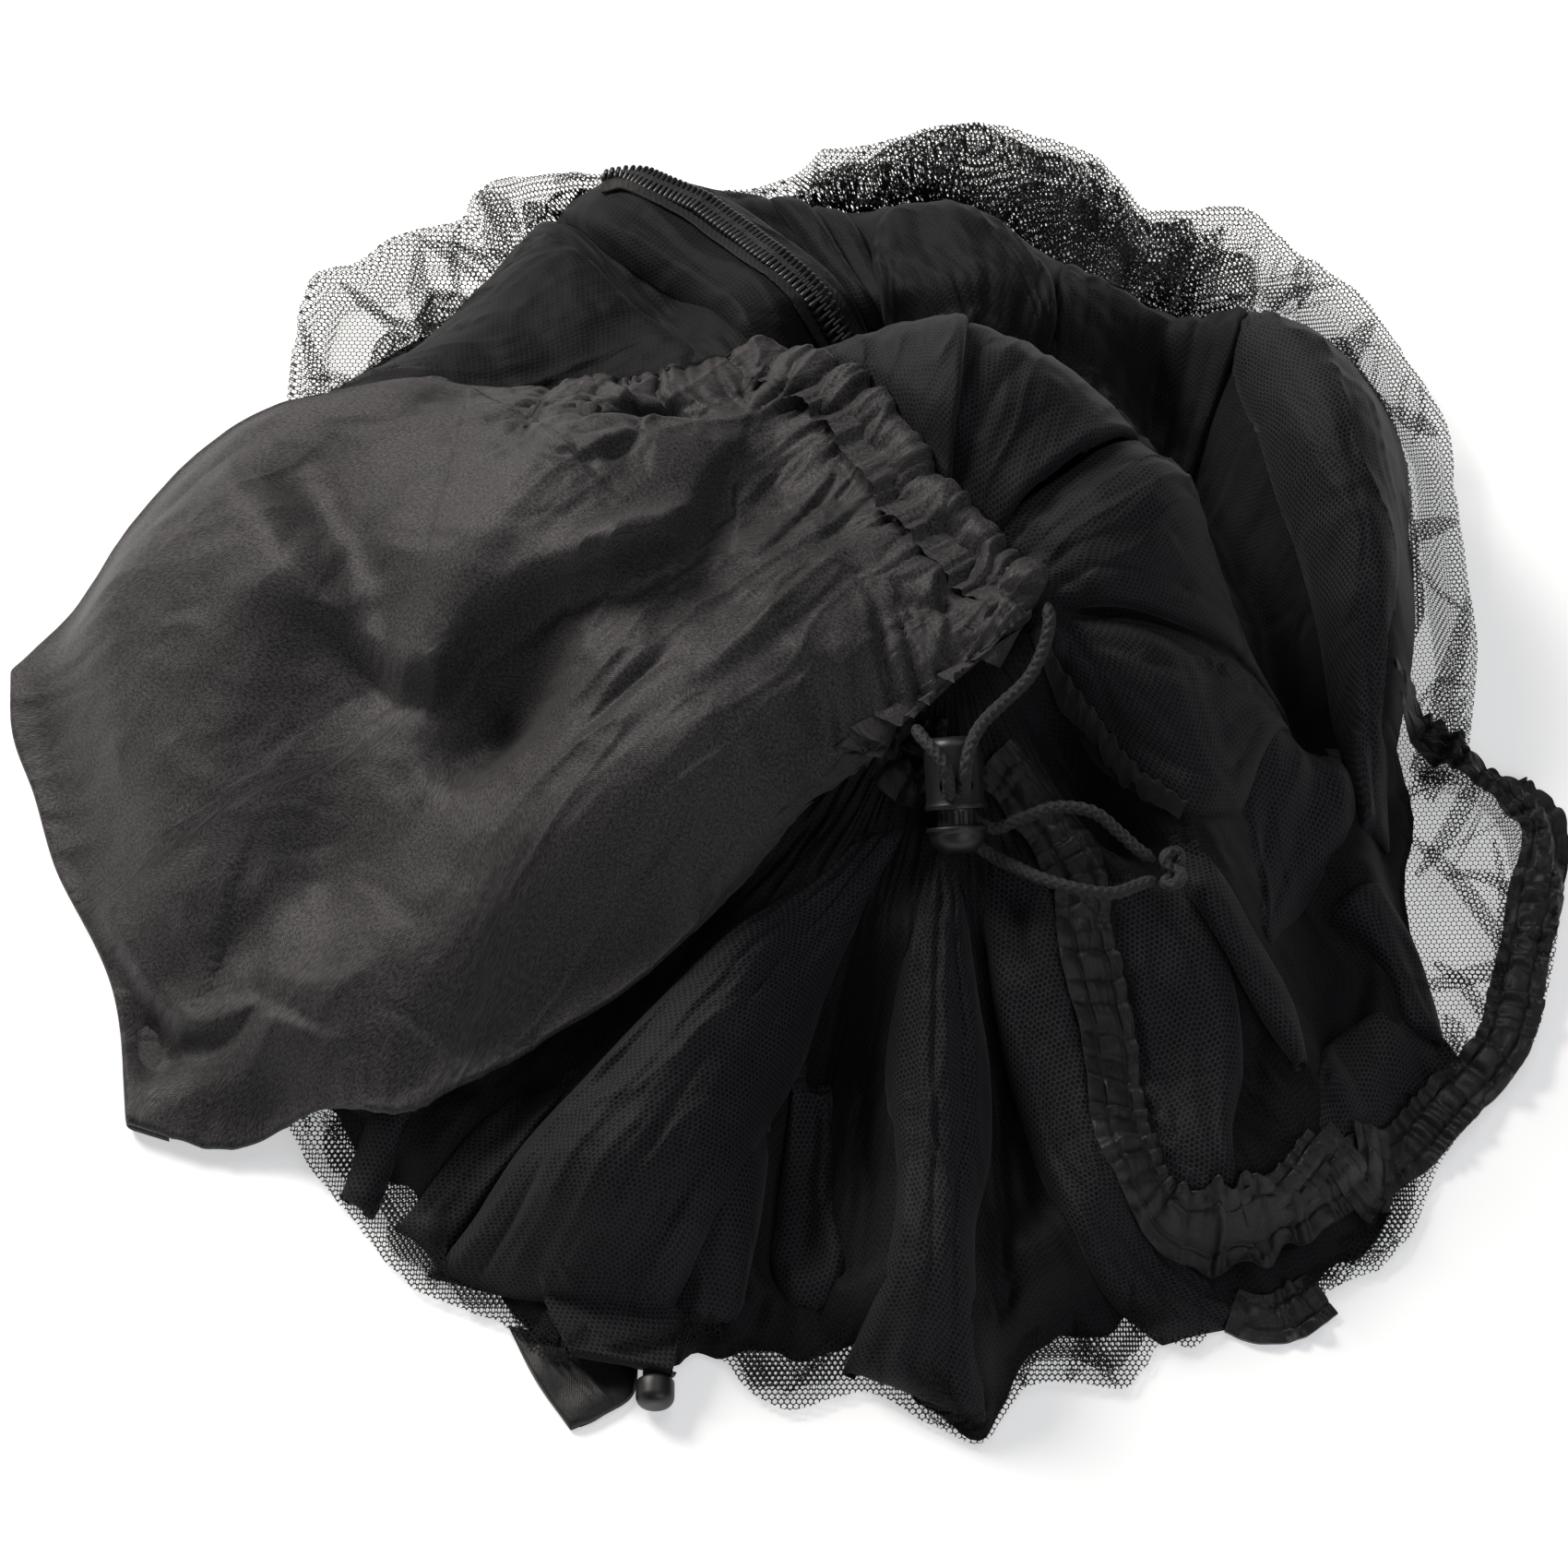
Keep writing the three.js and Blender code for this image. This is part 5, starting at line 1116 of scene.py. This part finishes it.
def sackPatch():
    front, back, closed, mouth = (edgeCurve(sack[k]) for k in ("front", "back", "closed", "mouth"))
    along = np.linspace(0, 1, sack["rows"]) ** 0.82
    across = np.linspace(0, 1, sack["columns"])
    a, c = along[:, None, None], across[None, :, None]
    corners = [side(end) for side in (front, back) for end in (0.0, 1.0)]
    plan = (front(along)[:, None] * (1 - c) + back(along)[:, None] * c + closed(across)[None] * (1 - a)
            + mouth(across)[None] * a - (corners[0] * (1 - a) + corners[1] * a) * (1 - c)
            - (corners[2] * (1 - a) + corners[3] * a) * c)
    mouthLine = mouth(np.linspace(0, 1, 110))
    fromMouth, _, run = pathDistance(plan[..., 0], plan[..., 1], list(zip(*mouthLine.T, runOf(mouthLine))))
    fromFront, fromBack = runLengths(plan, 1), runLengths(plan[:, ::-1], 1)[:, ::-1]
    fromClosed = runLengths(plan, 0)
    x, y = plan[..., 0], plan[..., 1]
    inside = smoothStep(np.minimum(fromFront, fromBack) / 6)
    z = sample(soften(sackTop, 3.2), x, y) + foldRelief(sackFolds, x, y) * inside * smoothStep(fromClosed / 4)
    z += 0.9 * noise(x, y, 26, 71) + 0.45 * noise(x, y, 9, 72) + 0.2 * noise(x, y, 4, 70)

    # gathers of the drawcord channel: flat-topped lobes between narrow creases, running out as puckers
    leave = np.maximum(fromMouth - sack["channel"], 0)
    at = run + 2.4 * noise(x, y, 9, 73) * smoothStep(fromMouth / 8)
    lobe = np.abs(noise(at / 5.6, fromMouth / 36, 1.0, 77)) ** 0.38
    small = np.abs(noise(at / 2.3 + 5, fromMouth / 13, 1.0, 78)) ** 0.6
    bulge = 0.75 * lobe + 0.25 * small
    inChannel = 1 - smoothStep((fromMouth - sack["channel"]) / 3)
    crown = np.sin(math.pi * np.clip(fromMouth / sack["channel"], 0, 1)) ** 0.85
    hold = smoothStep((run - 16) / 18)
    z += sack["puff"] * crown * inChannel * hold
    z += (5.0 * (lobe - 0.78) + 1.5 * (small - 0.7)) * np.exp(-leave / 5)
    line = np.exp(-((fromMouth - sack["channel"]) / 2.2) ** 2)
    z -= (0.5 + 0.9 * noise(run, fromMouth, 4, 76)) * line * hold
    pucker = np.abs(noise(at / 5 + 20, fromMouth / 48, 1.0, 79)) ** 0.55
    z += 2.6 * (pucker - 0.72) * smoothStep((fromMouth - 6) / 8) * np.exp(-leave / 20)
    long = noise(run / 11, fromMouth / 60, 1.0, 75)
    z += 1.6 * long * np.exp(-leave / 30) * smoothStep((fromMouth - 10) / 8)
    # the lower seam draws the cloth into short puckers
    draw = np.abs(noise(fromClosed / 4.5, fromFront / 16, 1.0, 82)) ** 0.55
    z += 1.5 * (draw - 0.7) * np.exp(-fromFront / 9)
    draw = np.abs(noise(fromFront / 4.0 + 9, fromClosed / 16, 1.0, 83)) ** 0.55
    z += 0.8 * (draw - 0.7) * np.exp(-fromClosed / 7) * (0.5 + 0.5 * noise(x, y, 15, 84))
    # soft creases everywhere, mostly along the bag
    drift = np.abs(noise(x * 0.075 - y * 0.075 + 0.5 * noise(x, y, 30, 80), (x + y) * 0.018, 1.0, 81))
    z += 1.6 * (np.exp(-drift / 0.2) - 0.3) * smoothStep((x + 90) / 60)
    drift = np.abs(noise(x * 0.17 - y * 0.17 + 0.4 * noise(x, y, 18, 85), (x + y) * 0.03, 1.0, 86))
    z += 0.7 * (np.exp(-drift / 0.2) - 0.3) * smoothStep((x + 80) / 50)

    # the channel's outer edge is scalloped
    normal = unit(np.gradient(plan[-1], axis=0)[:, ::-1] * np.array([1, -1]))
    push = (bulge - 0.6) * 2.4 * np.exp(-fromMouth / 5)
    plan = plan + push[..., None] * normal[None]
    return np.concatenate([plan, z[..., None]], axis=-1)


def rollEdge(points, radius, inset):
    # rows beyond the first one: the cloth turns over its edge and back underneath
    edge = points[0]
    way = unit((edge - points[3])[:, :2])
    rows = []
    for angle in np.linspace(0, math.pi, 7)[1:]:
        row = edge.copy()
        row[:, :2] += way * radius * math.sin(angle)
        row[:, 2] -= radius * (1 - math.cos(angle))
        rows.append(row)
    for back in inset:
        row = edge.copy()
        row[:, :2] -= way * back
        row[:, 2] -= 2 * radius
        rows.append(row)
    return np.concatenate([np.stack(rows[::-1]), points], axis=0)


sackPoints = sackPatch()
for side in ("end", "start", "first", "second"):
    # the mouth, at the end, rolls wider than the other edges
    roll = (sack["mouthRoll"], (3, 8, 14)) if side == "end" else (sack["roll"], (3, 9))
    sackPoints = onSide(sackPoints, side, lambda turned: rollEdge(turned, *roll))
sackPoints[..., 2] = np.maximum(sackPoints[..., 2], 0.5)
sackMesh = ClothMesh()
sackMesh.addGrid(sackPoints, clothUv(sackPoints))
sackPiece = sackMesh.build("stuff_sack_cloth", sackCloth)
fitPiece(sackPiece, "sack_cloth", "stuff_sack")
print("stage: sack made")


stripClearance = 0.6  # between a strip and what it lies on, in mm


def layStrip(target, route, width, thickness, profile, rails, spacing, lift=0.5, shift=0.0):
    # a strip along a route: profile(along, across) gives its relief in mm and its sideways stray
    route = np.array(route, float)
    centre = resample(route, int(lengthOf(route) / spacing))
    ahead = unit(np.gradient(centre[:, :2], axis=0))
    beside = np.stack([-ahead[:, 1], ahead[:, 0]], axis=1)
    along = runOf(centre[:, :2])[:, None]
    across = np.linspace(-1, 1, rails)[None, :]
    relief, stray = profile(along, across)
    offset = shift + across * (width / 2 + stray)
    x = centre[:, 0:1] + beside[:, 0:1] * offset
    y = centre[:, 1:2] + beside[:, 1:2] * offset
    rest = sample(soften(stack, 1.8), x, y)
    rest = np.maximum(rest, sample(stack, x, y)) + stripClearance
    bend = np.ones(9) / 9
    padded = np.pad(rest, ((4, 4), (0, 0)), mode="edge")
    rest = np.maximum(rest, np.apply_along_axis(np.convolve, 0, padded, bend, mode="valid"))
    z = rest + lift + relief
    top = np.stack([x, y, z], axis=-1)
    low = top.copy()
    low[..., 2] -= thickness
    around = np.concatenate([top, low[:, ::-1], top[:, :1]], axis=1)
    target.addGrid(around, clothUv(around), flip=True)


casing = {
    "route": [(48, -35), (55, -42), (62, -52), (67.5, -64), (68, -72), (73.5, -94), (78, -119), (86, -131),
              (100, -133), (115, -127), (127, -119), (141, -111), (156, -95), (168, -82), (175, -60),
              (180, -41), (183.6, -22), (176, -10)],
    # its end, behind the sheer net
    "behind": [(181, -20), (174, -11), (164, -4), (154, 3), (150, 10)],
    "flaps": [[(105, -131), (114, -125), (123, -114)], [(122, -112), (129, -118), (137, -124)],
              [(135, -124), (136, -115), (135, -107)]],
    "tail": [(102, -147), (109, -149.5), (116, -148), (123, -143)],
    "width": 13.0, "flapWidth": 9, "tailWidth": 11, "thickness": 0.9, "tuck": 126, "gather": 4.6, "seed": 81,
    "rowsAt": (-0.42, 0.5), "puff": 0.9,
    # for the main strip, the one behind and the flaps: how full the gathers are, and how high each lies
    "fullness": (1, 1.2, 0.5, 0.5, 0.5), "lifts": (0.9, 0.9, 2.6, 2.6, 2.6),
}


def gathered(seed, amount):
    def profile(along, across):
        rng = np.random.default_rng(seed)
        marks = np.cumsum(rng.uniform(0.55, 1.5, 140) * casing["gather"])
        sizes = rng.uniform(0.3, 1.2, 141)
        at = along + 1.1 * noise(along * 0 + along, across * 6, 5, seed + 1)
        lobe = np.clip(np.searchsorted(marks, at.ravel()).reshape(at.shape), 1, 139)
        share = np.clip((at - marks[lobe - 1]) / (marks[lobe] - marks[lobe - 1]), 0, 1)
        bulge = np.sin(math.pi * share) ** 0.6 * sizes[lobe]
        relief = amount * (2.5 * (bulge - 0.5) + 0.35 * noise(along, across * 6, 2.2, seed + 2))
        for row in casing["rowsAt"]:
            seam = np.exp(-((across - row) / 0.055) ** 2)
            relief = relief * (1 - 0.55 * seam) - 0.75 * seam
        middle = np.clip((across - casing["rowsAt"][0]) / (casing["rowsAt"][1] - casing["rowsAt"][0]), 0, 1)
        relief += casing["puff"] * np.sin(math.pi * middle) ** 0.7
        # two tucks stand up where the strip turns back on itself
        tuck = np.exp(-((along - casing["tuck"]) / 13) ** 2) * (seed == casing["seed"])
        relief += 4.5 * tuck * (1 - np.abs(np.mod(along / 10.5, 1) * 2 - 1)) * (0.6 + 0.4 * across)
        stray = amount * (0.5 * (bulge - 0.5) + 0.5 * noise(along + 0 * across, across, 7, seed + 3))
        stray = stray + 1.8 * tuck * np.sin(along * 0.6)
        return relief, stray
    return profile


casingRibbons = (
    ("hem_casing", casing["seed"], casing["width"], (casing["route"], casing["behind"], *casing["flaps"])),
    ("hem_casing_corner", 84, 0, ()),
    ("hem_casing_tail", 87, casing["tailWidth"], (casing["tail"],)),
)
for node, seed, width, routes in casingRibbons:
    strip = cornerStrip if node == "hem_casing_corner" else ClothMesh()
    for k, route in enumerate(routes):
        look = gathered(seed + k, casing["fullness"][k])
        layStrip(strip, route, casing["flapWidth"] if k else width, casing["thickness"], look, rails=36,
                 spacing=0.6, lift=casing["lifts"][k])
    piece = strip.build(node + "_ribbon", casingCloth)
    fitPiece(piece, "casing_taffeta", node)


def ruffled(along, across):
    return (0.9 * np.sin(along * 1.7 + 1.2 * noise(along, along * 0, 6, 95)) * (0.4 + 0.6 * across)
            + 0.4 * noise(along, across * 3, 2.5, 96), 0.5 * noise(along + 0 * across, across, 3, 97))


seam = ClothMesh()
layStrip(seam, [(57, -13), (64, -22.5), (71, -29), (75, -34), (81, -40), (91, -48)], 2.4, 0.5, ruffled,
         rails=9, spacing=0.4, lift=0.6)
seamPiece = seam.build("net_seam_ruffle", tapeTwill)
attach(seamPiece, "heap")
under = ClothMesh()
for route, width, look in (([(21, -30), (24, -36), (30, -41), (36, -40), (40, -35)], 8, gathered(98, 1.5)),
                           ([(26, -27), (31, -32), (37, -33)], 7, gathered(99, 1.4))):
    layStrip(under, route, width, 0.8, look, rails=24, spacing=0.5)
underPiece = under.build("stuff_sack_mouth_under", casingCloth)
fitPiece(underPiece, "sack_cloth")

zipRoute = [(-46, 144), (-41, 144), (-31, 138), (-22, 132), (-12, 121), (-2.5, 109), (7, 99), (15, 91)]
zipLook = {"tape": 7.0, "pitch": 1.5, "wire": 0.46, "lift": 0.7, "sides": 8,
           "steps": 13, "inner": -0.7, "reach": 4.0, "squareness": 2.6, "slant": 0.16, "tapers": 12}


def tapeProfile(along, across):
    cord = 0.35 * np.exp(-((across - 0.93) / 0.05) ** 2) + 0.35 * np.exp(-((across + 0.93) / 0.05) ** 2)
    return cord + 0.25 * noise(along, across * 8, 9, 91), 0.15 * noise(along + 0 * across, across, 8, 92)


for name, side in (("zip_tape_left", 1), ("zip_tape_right", -1)):
    strip = ClothMesh()
    layStrip(strip, zipRoute, zipLook["tape"] - 0.5, 0.7, tapeProfile, rails=26, spacing=0.7,
             shift=side * zipLook["tape"] / 2, lift=0.3)
    piece = strip.build(name + "_woven", tapeTwill)
    fitPiece(piece, "zip_tape", name)


def zipCoil():
    # two nylon coils whose loops lie between each other: each loop is a bent wire across the chain
    target = ClothMesh()
    route = resample(zipRoute, 400)
    run, ahead = runOf(route), unit(np.gradient(route, axis=0))
    count = int(run[-1] / zipLook["pitch"]) * 2
    ground = np.maximum(sample(soften(stack, 1.8), *route.T), sample(stack, *route.T))
    ground = np.maximum(ground, np.convolve(np.pad(ground, 20, mode="edge"), np.ones(41) / 41, mode="valid"))
    turn = np.linspace(0, 2 * math.pi, zipLook["sides"] + 1)
    for k in range(count):
        at = (k + 0.5) * zipLook["pitch"] / 2
        place, way = pointsAt(at, run, route), pointsAt(at, run, ahead)
        side = np.array([-way[1], way[0]]) * (1 if k % 2 else -1)
        height = np.interp(at, run, ground) + 2.0
        t = np.linspace(-1, 1, zipLook["steps"])
        reachOut = zipLook["inner"] + zipLook["reach"] * (1 - np.abs(t) ** zipLook["squareness"])
        reachOut = reachOut * (0.35 + 0.65 * smoothStep(np.array(at / zipLook["tapers"])))
        rise = zipLook["lift"] * np.sin(t * math.pi / 2)
        flat = [place[j] + side[j] * reachOut + way[j] * zipLook["slant"] * t for j in (0, 1)]
        line = np.stack([*flat, height + rise], axis=1)
        tangent = unit(np.gradient(line, axis=0))
        guide = np.array([way[0], way[1], 0.0])
        beside = unit(guide[None] - tangent * (tangent @ guide)[:, None])
        above = np.cross(tangent, beside)
        ring = line[:, None] + zipLook["wire"] * (np.cos(turn)[None, :, None] * beside[:, None] * 1.35
                                                  + np.sin(turn)[None, :, None] * above[:, None])
        target.addGrid(ring, clothUv(ring), flip=True)
    return target


coil = zipCoil().build("zip_coil_loops", coilNylon)
fitPiece(coil, "zip_coil", "zip_chain")
print("stage: casing and zip laid")
